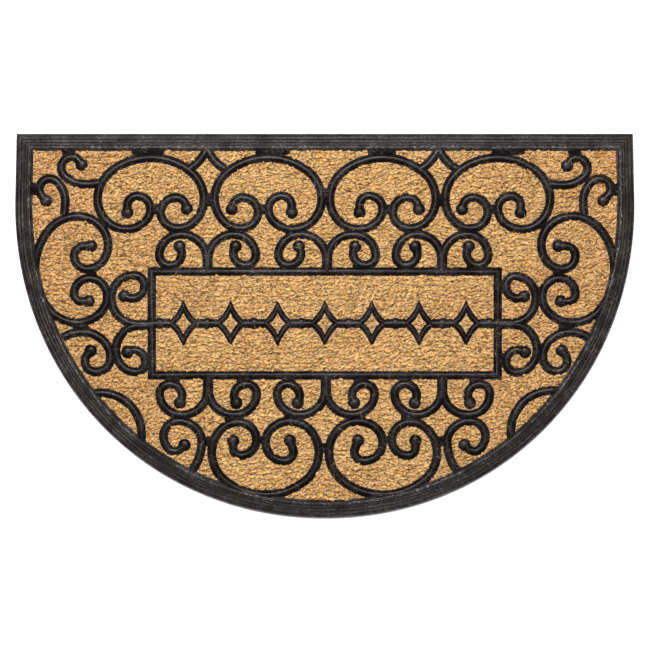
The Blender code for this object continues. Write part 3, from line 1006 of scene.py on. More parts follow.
@dataclass(frozen=True)
class BarSection:
    """The cross-section of every bar: a rounded ridge on a thin foot. Widths go across, heights go up."""

    bottom: float = 7.9 * MM
    foot: float = 5.5 * MM
    foot_height: float = 0.35 * MM
    ridge: float = 3.0 * MM
    ridge_foot: float = 0.55 * MM
    crest: float = 2.25 * MM
    fullness: float = 0.9
    steps: int = 10

    def points(self) -> list[Point]:
        """Returns the section's top from one foot to the other, as places across and heights."""
        ridge = []
        for step in range(self.steps + 1):
            angle = math.pi * step / self.steps
            up = self.ridge_foot + (self.crest - self.ridge_foot) * math.sin(angle) ** self.fullness
            ridge.append((-self.ridge * math.cos(angle), up))
        left = [(-self.foot, 0), (-self.foot, self.foot_height)]
        return [*left, *ridge, (self.foot, self.foot_height), (self.foot, 0)]


def walk_arcs(heading: float, arcs: Iterable[Arc], sag: float) -> list[Point]:
    """Follows a chain of arcs from the origin.

    Args:
        heading: The heading at the start, in degrees.
        arcs: The arcs in order.
        sag: How far a chord may lie inside its arc.

    Returns:
        The points of the line.
    """
    x = 0.0
    y = 0.0
    line = [(x, y)]
    angle = math.radians(heading)
    for arc in arcs:
        radius = arc.radius * MM
        if arc.turn == 0:
            x += radius * math.cos(angle)
            y += radius * math.sin(angle)
            line.append((x, y))
            continue
        turn = math.radians(arc.turn)
        side = math.copysign(radius, turn)
        centre_x = x - side * math.sin(angle)
        centre_y = y + side * math.cos(angle)
        steps = math.ceil(abs(turn) / (2 * math.acos(1 - sag / radius)))
        for step in range(1, steps + 1):
            part = angle + turn * step / steps
            line.append((centre_x + side * math.sin(part), centre_y - side * math.cos(part)))
        x, y = line[-1]
        angle += turn
    return line


@dataclass
class ScrollWork:
    """The scroll bars with their ball ends and the flat collars where they touch."""

    section: BarSection
    border: Border
    sag: float = 0.05 * MM
    level_step: float = 0.004 * MM
    ball_radius: float = 6.1 * MM
    ball_height: float = 2.35 * MM
    ball_foot: float = 7.6 * MM
    ball_turns: int = 22
    ball_rows: int = 7
    ball_lip: float = 1.6
    collar_bottom: float = 8.0 * MM
    collar_top: float = 8.6 * MM
    collar_bevel: float = 0.25 * MM
    spots_across: int = 9
    spots_along: int = 7
    sink_from: float = 18.6 * MM
    sink: float = 0.5 * MM
    sharp_angle: float = 50

    def runs(self) -> dict[Bar, tuple[list[Point], tuple[bool, bool]]]:
        """Returns each kind's middle line, and whether a ball stands at its start and at its end."""
        lines = {}
        for bar, run in ONE_WAY_RUNS.items():
            lines[bar] = (walk_arcs(run.heading, run.arcs, self.sag), (False, run.ball))
        for bar, (small, large) in TWO_WAY_RUNS.items():
            leftwards = walk_arcs(heading=180, arcs=small, sag=self.sag)
            rightwards = walk_arcs(heading=0, arcs=large, sag=self.sag)
            lines[bar] = (leftwards[::-1] + rightwards[1:], (True, True))
        return lines

    def lines(self) -> list[tuple[list[Point], tuple[bool, bool]]]:
        """Returns every bar's middle line in its place on the mat, with its balls."""
        runs = self.runs()
        found = []
        for place in PLACES:
            line, balls = runs[place.bar]
            turned = Matrix.Rotation(math.radians(place.turn), 2)
            placed = []
            for across, along in line:
                x, y = turned @ Vector((across * place.across, along * place.along))
                placed.append((x + place.x * MM, y + place.y * MM))
            found.append((placed, balls))
        return found

    def balls(self) -> list[Point]:
        """Returns the middle of every ball."""
        found = []
        for line, at_ends in self.lines():
            found.extend(end for end, has_ball in zip((line[0], line[-1]), at_ends) if has_ball)
        return found

    def spots(self) -> list[Point]:
        """Returns the points that the balls and collars cover, besides the bars' own lines."""
        reach = self.ball_foot - self.section.foot
        found = [spot for x, y in self.balls() for spot in circle(x, y, reach)]
        for collar in COLLARS:
            wide = max(0.0, collar.wide * MM / 2 - self.section.foot)
            deep = max(0.0, collar.deep * MM / 2 - self.section.foot)
            for across in np.linspace(-wide, wide, self.spots_across):
                for along in np.linspace(-deep, deep, self.spots_along):
                    found.append((collar.x * MM + across, collar.y * MM + along))
        return found

    def add_bars(self, bm: BMesh) -> None:
        """Adds a solid bar along each line, a hair apart in height so that no two faces share a plane.

        Args:
            bm: The mesh.
        """
        profile = bpy.data.curves.new("bar_section", "CURVE")
        outline = profile.splines.new("POLY")
        corners = self.section.points()
        outline.points.add(len(corners) - 1)
        for point, (across, up) in zip(outline.points, corners):
            point.co = (across, up, 0, 1)
        outline.use_cyclic_u = True
        shape = link_object("bar_section", profile)
        curve = bpy.data.curves.new("bars", "CURVE")
        curve.dimensions = "3D"
        curve.twist_mode = "Z_UP"
        curve.bevel_mode = "OBJECT"
        curve.bevel_object = shape
        curve.use_fill_caps = True
        for index, (line, _) in enumerate(self.lines()):
            spline = curve.splines.new("POLY")
            spline.points.add(len(line) - 1)
            level = self.section.bottom + self.level_step * (1 + index)
            for point, (x, y) in zip(spline.points, line):
                point.co = (x, y, level, 1)
        guide = link_object("bars_guide", curve)
        bpy.context.view_layer.update()
        shown = guide.evaluated_get(bpy.context.evaluated_depsgraph_get())
        take_mesh(bm, bpy.data.meshes.new_from_object(shown))
        bpy.data.objects.remove(guide, do_unlink=True)
        bpy.data.objects.remove(shape, do_unlink=True)
        bmesh.ops.remove_doubles(bm, verts=bm.verts, dist=WELD_DISTANCE)

    def ball_mesh(self) -> Mesh:
        """Returns the mesh of one ball on its foot, turned about the origin."""
        foot = self.section.foot_height
        profile = []
        for step in range(self.ball_rows):
            angle = math.pi / 2 * step / self.ball_rows
            up = foot + (self.ball_height - foot) * math.cos(angle)
            profile.append((self.ball_radius * math.sin(angle), up))
        profile.append((self.ball_radius, foot * self.ball_lip))
        profile.extend([(self.ball_foot, foot), (self.ball_foot, 0), (0, 0)])
        bm = bmesh.new()
        verts = [bm.verts.new((radius, 0, up)) for radius, up in profile]
        edges = [bm.edges.new(pair) for pair in zip(verts, verts[1:])]
        bmesh.ops.spin(
            bm,
            geom=[*verts, *edges],
            cent=(0, 0, 0),
            axis=(0, 0, 1),
            angle=math.tau,
            steps=self.ball_turns,
            use_merge=True,
        )
        bmesh.ops.remove_doubles(bm, verts=bm.verts, dist=WELD_DISTANCE)
        return plain_mesh("ball", bm)

    def add_balls(self, bm: BMesh, middles: Iterable[Point], size: float = 1) -> None:
        """Adds a ball at each middle.

        Args:
            bm: The mesh.
            middles: The balls' middles.
            size: Their width, as a share of the full one.
        """
        mesh = self.ball_mesh()
        for index, (x, y) in enumerate(middles):
            level = self.section.bottom + self.level_step * (index + 0.5)
            there = Matrix.Translation((x, y, level)) @ Matrix.Diagonal((size, size, 1, 1))
            mesh.transform(there)
            bm.from_mesh(mesh)
            mesh.transform(there.inverted())
        bpy.data.meshes.remove(mesh)

    def add_collars(self, bm: BMesh) -> None:
        """Adds the flat collars with softened edges.

        Args:
            bm: The mesh.
        """
        for index, collar in enumerate(COLLARS):
            found = bmesh.ops.create_cube(bm, size=1)["verts"]
            top = self.collar_top + self.level_step * index
            size = (collar.wide * MM, collar.deep * MM, top - self.collar_bottom)
            bmesh.ops.scale(bm, verts=found, vec=size)
            centre = (collar.x * MM, collar.y * MM, (self.collar_bottom + top) / 2)
            bmesh.ops.translate(bm, verts=found, vec=centre)
            edges = {edge for vert in found for edge in vert.link_edges}
            bmesh.ops.bevel(
                bm,
                geom=list(edges),
                offset=self.collar_bevel,
                affect="EDGES",
                segments=2,
                profile=0.5,
                material=-1,
            )

    def sink_into_border(self, bm: BMesh, ground: Ground) -> None:
        """Sinks the bars' ends into the border, so that they end inside its top rib.

        Args:
            bm: The mesh of bars.
            ground: The distances on the mat.
        """
        places = np.array([vert.co for vert in bm.verts])
        inwards = ground.from_edge(places[:, 0], places[:, 1])
        limit = self.border.height_at(inwards) - self.sink
        for vert, distance, top in zip(bm.verts, inwards, limit):
            if distance < self.sink_from:
                vert.co.z = max(self.border.sheet_top, min(vert.co.z, top))

    def build(self, material: Material, ground: Ground) -> Piece:
        """Builds the piece.

        Args:
            material: The rubber's finish.
            ground: The distances on the mat.

        Returns:
            The piece.
        """
        bm = bmesh.new()
        self.add_bars(bm)
        self.add_balls(bm, self.balls())
        self.add_collars(bm)
        self.sink_into_border(bm, ground)
        piece = mesh_object("scroll_bars", bm, material, self.sharp_angle)
        return dress(piece, Slot.RUBBER, Node.MOULDING)


@dataclass
class Panel:
    """The panel's frame with the chain of hollow-sided lozenges inside it."""

    section: BarSection
    scrolls: ScrollWork
    width: float = 428.8 * MM
    depth: float = 135.9 * MM
    centre_y: float = 2.5 * MM
    frame_bar: float = 10.3 * MM
    lozenge_count: int = 7
    pitch: float = 57 * MM
    lozenge_width: float = 42 * MM
    lozenge_depth: float = 58 * MM
    hollow: float = 0.16
    side_steps: int = 12
    lozenge_bar: float = 9.4 * MM
    link_reach: float = 5 * MM
    bead_size: float = 0.92
    bead_spot: float = 2 * MM
    sharp_angle: float = 50

    def frame_outline(self, inset: float) -> list[Point]:
        """Returns the corners of the frame's rectangle, this far inside its outer edge.

        Args:
            inset: How far inwards the corners lie.

        Returns:
            The corners, counter-clockwise.
        """
        left = inset - self.width / 2
        bottom = self.centre_y - self.depth / 2 + inset
        top = self.centre_y + self.depth / 2 - inset
        return [(left, bottom), (-left, bottom), (-left, top), (left, top)]

    def lozenge_outline(self, centre_x: float, inset: float) -> list[Point]:
        """Returns the outline of a lozenge with hollow sides, this far inside its outer edge.

        Args:
            centre_x: Where the lozenge stands.
            inset: How far inwards the outline lies.

        Returns:
            The outline, counter-clockwise.
        """
        wide = self.lozenge_width / 2
        deep = self.lozenge_depth / 2
        share = 1 - inset * math.hypot(wide, deep) / (wide * deep)
        tips = [Vector((wide, 0)), Vector((0, deep)), Vector((-wide, 0)), Vector((0, -deep))]
        outline = []
        for start, end in zip(tips, tips[1:] + tips[:1]):
            for step in range(self.side_steps):
                along = step / self.side_steps
                pull = share * (1 - self.hollow * 4 * along * (1 - along))
                point = start.lerp(end, along) * pull
                outline.append((centre_x + point.x, self.centre_y + point.y))
        return outline

    def centres(self) -> list[float]:
        """Returns where each lozenge stands across the panel."""
        first = -(self.lozenge_count - 1) / 2 * self.pitch
        return [first + index * self.pitch for index in range(self.lozenge_count)]

    def links(self) -> list[float]:
        """Returns where each link between lozenges stands across the panel."""
        return [self.centres()[0] - self.pitch / 2, *(centre + self.pitch / 2 for centre in self.centres())]

    def link_line(self, centre_x: float) -> list[Point]:
        """Returns the middle line of a link."""
        reach = self.pitch / 2 - self.lozenge_width / 2 + self.link_reach
        return [(centre_x - reach, self.centre_y), (centre_x + reach, self.centre_y)]

    def covered(self) -> list[tuple[list[Point], bool]]:
        """Returns the middle lines of all that covers the coir here, and whether each is closed."""
        middle = self.lozenge_bar / 2
        lines = [(self.frame_outline(self.frame_bar / 2), True)]
        lines.extend((self.lozenge_outline(centre, middle), True) for centre in self.centres())
        lines.extend((self.link_line(centre), False) for centre in self.links())
        return lines

    def spots(self) -> list[Point]:
        """Returns the points that the beads cover."""
        return [spot for centre in self.links() for spot in circle(centre, self.centre_y, self.bead_spot)]

    def add_ring(self, bm: BMesh, outline_at: Outline, bar_width: float) -> None:
        """Adds a closed bar with the bars' cross-section, inside the outline.

        Args:
            bm: The mesh.
            outline_at: Gives the outline at a distance inwards.
            bar_width: The bar's width.
        """
        ring = bmesh.new()
        foot = self.section.foot
        scale = bar_width / (2 * foot)
        bottom = self.section.bottom
        across = [((place + foot) * scale, bottom + up) for place, up in self.section.points()]
        inner = rise(ring, outline_at, across)
        bmesh.ops.delete(ring, geom=[inner], context="FACES_ONLY")
        rims = [edge for edge in ring.edges if edge.is_boundary]
        bmesh.ops.triangle_fill(ring, use_beauty=True, edges=rims)
        take_mesh(bm, plain_mesh("ring", ring))

    def add_link(self, bm: BMesh, centre_x: float) -> None:
        """Adds one link of the chain as a straight bar.

        Args:
            bm: The mesh.
            centre_x: The link's middle.
        """
        (left, _), (right, _) = self.link_line(centre_x)
        bottom = self.section.bottom
        section = self.section.points()
        corners = [bm.verts.new((left, self.centre_y + across, bottom + up)) for across, up in section]
        end = bm.faces.new(corners)
        found = bmesh.ops.extrude_face_region(bm, geom=[end])["geom"]
        bmesh.ops.translate(bm, verts=parts(found, bmesh.types.BMVert), vec=(right - left, 0, 0))

    def build(self, material: Material) -> list[Piece]:
        """Builds the frame and the chain.

        Args:
            material: The rubber's finish.

        Returns:
            The two pieces.
        """
        frame_mesh = bmesh.new()
        self.add_ring(frame_mesh, self.frame_outline, self.frame_bar)
        frame_piece = mesh_object("panel_frame", frame_mesh, material, self.sharp_angle)
        chain = bmesh.new()
        for centre in self.centres():
            self.add_ring(chain, partial(self.lozenge_outline, centre), self.lozenge_bar)
        for centre in self.links():
            self.add_link(chain, centre)
        beads = [(centre, self.centre_y) for centre in self.links()]
        self.scrolls.add_balls(chain, beads, self.bead_size)
        chain_piece = mesh_object("lozenge_chain", chain, material, self.sharp_angle)
        return [dress(piece, Slot.RUBBER, Node.MOULDING) for piece in (frame_piece, chain_piece)]


@dataclass
class Strands:
    """Many spindle-shaped bits of fibre: where each lies, how large it is and how it is coloured.

    The columns of place are x, y and z. The heading is in radians, and sizes are in metres.
    """

    place: Array
    heading: Array
    length: Array
    width: Array
    height: Array
    bow: Array
    arch: Array
    shade: Array
    warmth: Array

    def __len__(self) -> int:
        """Returns how many there are."""
        return len(self.heading)

    def chosen(self, keep: Array) -> "Strands":
        """Returns those that a mask or a list of numbers picks."""
        return Strands(**{name: values[keep] for name, values in vars(self).items()})

    def joined(self, other: "Strands") -> "Strands":
        """Returns these with the others after them."""
        both = {name: np.concatenate([values, getattr(other, name)]) for name, values in vars(self).items()}
        return Strands(**both)


@dataclass(frozen=True)
class Spindle:
    """The shape that every bit of fibre is a copy of: a closed spindle along X with few faces."""

    around: int
    lengthwise: int
    point: float = 1.25
    map_shift: float = 9
    cell_margin: float = 0.06

    def arrays(self) -> tuple[Array, Array, Array, Array, Array]:
        """Returns the points, the faces' corners, each face's first corner and count, and the map."""
        bm = bmesh.new()
        bm.loops.layers.uv.new(FIBRE_MAP)
        segments = {"u_segments": self.around, "v_segments": self.lengthwise}
        bmesh.ops.create_uvsphere(bm, **segments, radius=1, calc_uvs=True)
        mesh = plain_mesh("spindle", bm)
        points = np.array([vert.co for vert in mesh.vertices])
        corners = np.array([loop.vertex_index for loop in mesh.loops])
        first = np.array([polygon.loop_start for polygon in mesh.polygons])
        count = np.array([polygon.loop_total for polygon in mesh.polygons])
        fibre_map = np.array([loop.uv for loop in mesh.uv_layers[FIBRE_MAP].data])
        bpy.data.meshes.remove(mesh)
        girth = np.hypot(points[:, 0], points[:, 1])
        thin = np.where(girth > 0, girth ** (self.point - 1), 1)
        points = np.stack([points[:, 2], points[:, 0] * thin, points[:, 1] * thin], axis=1)
        return points, corners, first, count, fibre_map

    def copies(self, name: str, strands: Strands, rng: Random) -> Mesh:
        """Makes one mesh of a copy for each bit of fibre.

        Args:
            name: The mesh's name.
            strands: The bits of fibre.
            rng: The seeded source of the pattern's shifts.

        Returns:
            The mesh, with the attributes shade and warmth and the two maps.
        """
        points, corners, first, count, fibre_map = self.arrays()
        total = len(strands)
        sizes = (strands.length, strands.width, strands.height, strands.bow, strands.arch)
        length, width, height, bow, arch = (values[:, None] for values in sizes)
        along = points[None, :, 0] * length / 2
        belly = 1 - points[None, :, 0] ** 2
        side = points[None, :, 1] * width / 2 + bow * belly
        up = points[None, :, 2] * height / 2 + arch * belly
        cosine = np.cos(strands.heading)[:, None]
        sine = np.sin(strands.heading)[:, None]
        x = strands.place[:, :1] + along * cosine - side * sine
        y = strands.place[:, 1:2] + along * sine + side * cosine
        z = strands.place[:, 2:3] + up
        places = np.stack([x, y, z], axis=2).reshape(-1, 3)
        mesh = bpy.data.meshes.new(name)
        mesh.vertices.add(len(places))
        mesh.vertices.foreach_set("co", places.astype(np.float32).ravel())
        number = np.arange(total)[:, None]
        mesh.loops.add(total * len(corners))
        mesh.loops.foreach_set("vertex_index", (corners + number * len(points)).astype(np.int32).ravel())
        mesh.polygons.add(total * len(first))
        mesh.polygons.foreach_set("loop_start", (first + number * len(corners)).astype(np.int32).ravel())
        mesh.polygons.foreach_set("loop_total", np.tile(count, total).astype(np.int32))
        mesh.polygons.foreach_set("use_smooth", np.ones(total * len(first), bool))
        for label, values in (("shade", strands.shade), ("warmth", strands.warmth)):
            attribute = mesh.attributes.new(label, "FLOAT", "POINT")
            attribute.data.foreach_set("value", np.repeat(values, len(points)).astype(np.float32))
        self.write_maps(mesh, strands, fibre_map, rng)
        mesh.update(calc_edges=True)
        return mesh

    def write_maps(self, mesh: Mesh, strands: Strands, fibre_map: Array, rng: Random) -> None:
        """Writes the map in metres round and along each fibre, and the map with one cell for each.

        Args:
            mesh: The mesh of all the copies.
            strands: The bits of fibre.
            fibre_map: The map of one copy, from 0 to 1.
            rng: The seeded source of the pattern's shifts.
        """
        total = len(strands)
        shift = rng.uniform(0, self.map_shift, (total, 1, 2))
        size = np.stack([strands.width * math.pi / 2, strands.length], axis=1)[:, None, :]
        rows = math.ceil(math.sqrt(total))
        number = np.arange(total)
        cell = np.stack([number % rows, number // rows], axis=1)[:, None, :]
        inside = self.cell_margin + (1 - 2 * self.cell_margin) * fibre_map[None]
        real = fibre_map[None] * size + shift
        for label, values in ((FIBRE_MAP, real), (EXPORT_MAP, (cell + inside) / rows)):
            layer = mesh.uv_layers.new(name=label)
            layer.data.foreach_set("uv", values.astype(np.float32).ravel())
        mesh.uv_layers.active = mesh.uv_layers[FIBRE_MAP]
        mesh.uv_layers[FIBRE_MAP].active_render = True


DRIFT_WAVES = ((1, 1.7), (2.1, -1), (0.6, -2.3))
DRIFT_HEIGHT = 2.2


def wave(x: Array, y: Array, across: float, along: float, phase: float = 0) -> Array:
    """Returns a sine over the mat, whose radian is this many millimetres across and along."""
    return np.sin(x / (across * MM) + y / (along * MM) + phase)


def drift(x: Array, y: Array, stretch: float, phase: float) -> Array:
    """Adds up three crossing waves as a slow change over the mat.

    Args:
        x: The places across.
        y: The places along.
        stretch: The first wave's radian, in millimetres.
        phase: The first wave's phase.

    Returns:
        The change at each place, from about -1 to 1.
    """
    total = np.zeros_like(x)
    for turns, (across, along) in enumerate(DRIFT_WAVES, start=1):
        total += np.sin((across * x + along * y) / (stretch * MM) + turns * phase)
    return total / DRIFT_HEIGHT


@dataclass(frozen=True)
class Tone:
    """How the yarn's shade or warmth changes over the mat: slowly, at random, and towards its left and right
    sides.
    """

    middle: float
    outwards: float
    swing: float
    stretch: float
    phase: float
    scatter: float = 0.07
    reach: float = 300 * MM
    most_outwards: float = 1.2

    def over(self, x: Array, y: Array, rng: Random) -> Array:
        """Finds the tone of strands.

        Args:
            x: Their middles across.
            y: Their middles along.
            rng: The seeded source of their unevenness.

        Returns:
            The tone of each.
        """
        outwards = self.outwards * np.clip((x / self.reach) ** 2, 0, self.most_outwards)
        slow = self.swing * drift(x, y, self.stretch, self.phase)
        return self.middle + outwards + slow + rng.normal(0, self.scatter, len(x))


@dataclass(frozen=True)
class HairLooks:
    """How single hairs vary: width and height as shares of the usual one, and the arch in millimetres."""

    widths: Point
    heights: Point
    arches: Point
    shades: Point
    bow: float
    stretch: float = 1
    width: float = 0.32 * MM
    warmth_scatter: Point = (0.42, 0.12)

    def hairs(self, place: Array, heading: Array, length: Array, rng: Random) -> Strands:
        """Makes hairs.

        Args:
            place: Their middles, as columns of x, y and z.
            heading: Their headings in radians.
            length: Their lengths before the stretch.
            rng: The seeded source of their unevenness.

        Returns:
            The hairs.
        """
        count = len(heading)
        return Strands(
            place=place,
            heading=heading,
            length=length * self.stretch,
            width=self.width * rng.uniform(*self.widths, count),
            height=self.width * rng.uniform(*self.heights, count),
            bow=rng.normal(0, self.bow, count) * length,
            arch=rng.uniform(*self.arches, count) * MM,
            shade=rng.uniform(*self.shades, count),
            warmth=rng.normal(*self.warmth_scatter, count),
        )


STRAY_LOOKS = HairLooks(
    widths=(0.7, 1.3), heights=(0.7, 1.1), arches=(0.1, 0.45), shades=(0.7, 1.1), bow=0.12, stretch=1.1
)
CROSSING_LOOKS = HairLooks(
    widths=(0.6, 0.9), heights=(0.6, 0.9), arches=(0.1, 0.4), shades=(0.6, 1.0), bow=0.14
)


@dataclass
class Coir:
    """The coir cloth: a matted sheet, twisted yarn in rows over it, fine fibre on the yarn and stray hairs.

    A pair of numbers is a lowest and a highest value, or a mean and a spread where its name says scatter.
    Ranges of widths and heights are shares of the usual one, and hairs' lengths are in millimetres.
    """

    shape: MatShape
    ground: Ground
    seed: int = 20

    edge_inset: float = 21.3 * MM
    bottom: float = 2.3 * MM
    top: float = 7.75 * MM
    under_bars: float = 7.5 * MM
    cell_x: float = 3.0 * MM
    cell_y: float = 1.9 * MM
    row_relief: float = 0.3 * MM
    pressed_reach: float = 4 * MM
    bar_slope: float = 3 * MM
    edge_slope: float = 2 * MM
    sharp_angle: float = 60

    row_pitch: float = 6.2 * MM
    rows_apart: int = 3
    slow_wander: float = 1.1 * MM
    quick_wander: float = 0.6 * MM
    second_wave: float = 0.6
    half_width: float = 365 * MM
    half_depth: float = 235 * MM
    strand_step: float = 7.0 * MM
    step_scatter: float = 1.0 * MM
    row_scatter: float = 1.2 * MM
    slant: float = 13
    slant_swing: float = 11
    slant_scatter: float = 20
    stray_share: float = 0.12
    stray_slants: Point = (-30, 10)
    strand_length: float = 9.6 * MM
    strand_width: float = 3.7 * MM
    strand_height: float = 1.95 * MM
    size_range: Point = (0.75, 1.2)
    height_range: Point = (0.85, 1.15)
    cut_width: float = 0.55
    overlap: float = 1.04
    strand_level: float = 8.0 * MM
    level_scatter: float = 0.16 * MM
    strand_bow: float = 0.5 * MM
    strand_arch: float = 0.4 * MM
    cut_arch: float = 0.3
    clear_of_bar: float = 5.3 * MM
    clear_of_edge: float = 21.0 * MM
    ragged_ends: float = 0.24 * MM
    shortest: float = 2.6 * MM
    samples: int = 13
    # The yarn is made darker and warmer towards the mat's left and right sides.
    shade: Tone = Tone(middle=0.52, outwards=-0.11, swing=0.06, stretch=34, phase=1.3)
    warmth: Tone = Tone(middle=0.5, outwards=0.14, swing=0.08, stretch=55, phase=2.2)

    fibres_per_strand: int = 6
    lane_reach: float = 0.82
    lane_scatter: float = 0.13
    slide_reach: float = 0.3
    lane_fall: float = 0.85
    least_lift: float = 0.05
    lift_scatter: Point = (0.02 * MM, 0.08 * MM)
    # Dark flecks: partly the coir's own dark fibres, partly painted shade, with more of them on the yarn's
    # edges where shade falls between the rows.
    dark_and_shade_flecks: float = 0.24
    fleck_middle: float = 0.35
    fleck_outer_shade: float = 1.6
    fleck_spread: float = 22
    fibre_spread: float = 37
    fibre_width: float = 1.1 * MM
    fibre_lengths: Point = (0.28, 0.56)
    fibre_widths: Point = (0.6, 1.25)
    fibre_heights: Point = (0.7, 1.1)
    bow_by_lane: float = 0.4
    fibre_bow: float = 0.4 * MM
    fibre_arch: float = 0.1 * MM
    shade_scatter: Point = (0.17, 0.32)
    fleck_shade: float = 1.2
    warmth_scatter: float = 0.17

    hairs: int = 900
    hairs_half_width: float = 350 * MM
    hairs_half_depth: float = 210 * MM
    hair_slant_scatter: Point = (15, 38)
    hair_lengths: Point = (7, 17)
    hair_level: float = 9.35 * MM
    hair_level_scatter: float = 0.12 * MM
    crossing: int = 90
    crossing_half_width: float = 330 * MM
    crossing_half_depth: float = 200 * MM
    crossing_lengths: Point = (5, 10)
    crossing_inset: float = 26 * MM
    crossing_level: float = 10.3 * MM

    def wander(self, x: Array, y: Array) -> Array:
        """Returns how far the rows wander up or down at each place."""
        slow = wave(x, y, across=61, along=47)
        slow += self.second_wave * wave(x, y, across=23, along=-83, phase=2)
        quick = wave(x, y, across=9.5, along=31) * wave(x, y, across=37, along=-13, phase=1)
        return self.slow_wander * slow + self.quick_wander * quick

    def sheet(self, material: Material) -> Piece:
        """Builds the matted sheet: a grid cut to the mat's shape, with its wall and its underside.

        Args:
            material: The backing's finish.

        Returns:
            The sheet.
        """
        outline = self.shape.outline(self.edge_inset)
        rim = tree_of(dense_line(outline, True, self.ground.SPACING))
        corners = np.array(outline)
        low = corners.min(axis=0)
        high = corners.max(axis=0)
        columns, rows = np.ceil((high - low) / (self.cell_x, self.cell_y)).astype(int).tolist()
        bm = bmesh.new()
        bmesh.ops.create_grid(bm, x_segments=columns, y_segments=rows, size=0.5)
        bmesh.ops.scale(bm, verts=bm.verts, vec=(*(high - low).tolist(), 1))
        bmesh.ops.translate(bm, verts=bm.verts, vec=(*((high + low) / 2).tolist(), 0))
        places = np.array([vert.co for vert in bm.verts])
        inwards = self.ground.from_edge(places[:, 0], places[:, 1])
        kept = (inwards > self.edge_inset) & self.inside_mat(places[:, 0], places[:, 1])
        outside = [vert for vert, keep in zip(bm.verts, kept) if not keep]
        bmesh.ops.delete(bm, geom=outside, context="VERTS")
        for vert in [vert for vert in bm.verts if vert.is_boundary]:
            vert.co.xy = rim.find((vert.co.x, vert.co.y, 0))[0].xy
        self.shape_top(bm)
        edges = [edge for edge in bm.edges if edge.is_boundary]
        found = bmesh.ops.extrude_edge_only(bm, edges=edges)["geom"]
        for vert in parts(found, bmesh.types.BMVert):
            vert.co.z = self.bottom
        floor_edges = [edge for edge in parts(found, bmesh.types.BMEdge) if edge.is_boundary]
        bmesh.ops.holes_fill(bm, edges=floor_edges)
        return mesh_object("coir_sheet", bm, material, self.sharp_angle)

    def inside_mat(self, x: Array, y: Array) -> Array:
        """Returns which places lie inside the mat's outline.

        Args:
            x: The places across.
            y: The places along.

        Returns:
            A mask of the places.
        """
        shape = self.shape
        down = np.clip((shape.curve_top_y - y) / shape.curve_depth, 0, 1)
        half = shape.widest_half_width * (1 - down**shape.fullness) ** (1 / shape.fullness)
        return (np.abs(x) < half) & (y < shape.straight_edge_y) & (y > shape.curve_top_y - shape.curve_depth)

    def shape_top(self, bm: BMesh) -> None:
        """Gives the sheet its rows, and presses it down under the bars and along the edge.

        Args:
            bm: The sheet's mesh, still without a wall.
        """
        places = np.array([vert.co for vert in bm.verts])
        x = places[:, 0]
        y = places[:, 1]
        rows = np.cos(math.tau * (y - self.wander(x, y)) / self.row_pitch)
        near = np.clip((self.ground.from_bars(x, y) - self.pressed_reach) / self.bar_slope, 0, 1)
        edge = np.clip((self.ground.from_edge(x, y) - self.edge_inset) / self.edge_slope, 0, 1)
        free = np.minimum(near, edge)
        heights = self.under_bars + (self.top - self.under_bars + self.row_relief * rows) * free
        for vert, height in zip(bm.verts, heights.tolist()):
            vert.co.z = height

    def free_bits(self, x: Array, y: Array, heading: Array, length: Array, rng: Random) -> tuple[Array, ...]:
        """Cuts each strand where a bar or the border covers it.

        Args:
            x: The middles across.
            y: The middles along.
            heading: The headings in radians.
            length: The lengths.
            rng: The seeded source of the ragged ends.

        Returns:
            For each bit that is left: its strand's number, its middle across and along, its heading
            and its length.
        """
        along = np.linspace(-0.5, 0.5, self.samples)[None] * length[:, None]
        sample_x = x[:, None] + along * np.cos(heading)[:, None]
        sample_y = y[:, None] + along * np.sin(heading)[:, None]
        ragged = rng.normal(0, self.ragged_ends, sample_x.shape)
        free = self.ground.from_bars(sample_x, sample_y) > self.clear_of_bar + ragged
        free &= self.ground.from_edge(sample_x, sample_y) > self.clear_of_edge + ragged
        free &= self.inside_mat(sample_x, sample_y)
        bits = []
        for number, row in enumerate(free):
            padded = np.concatenate([[0], row.astype(int), [0]])
            changes = np.flatnonzero(np.diff(padded))
            for start, end in zip(changes[::2], changes[1::2]):
                bit = (end - start) / self.samples * length[number]
                if bit >= self.shortest:
                    bits.append((number, (along[number, start] + along[number, end - 1]) / 2, bit))
        numbers, shift, bit = np.array(bits).T
        number = numbers.astype(int)
        heading = heading[number]
        return number, x[number] + shift * np.cos(heading), y[number] + shift * np.sin(heading), heading, bit

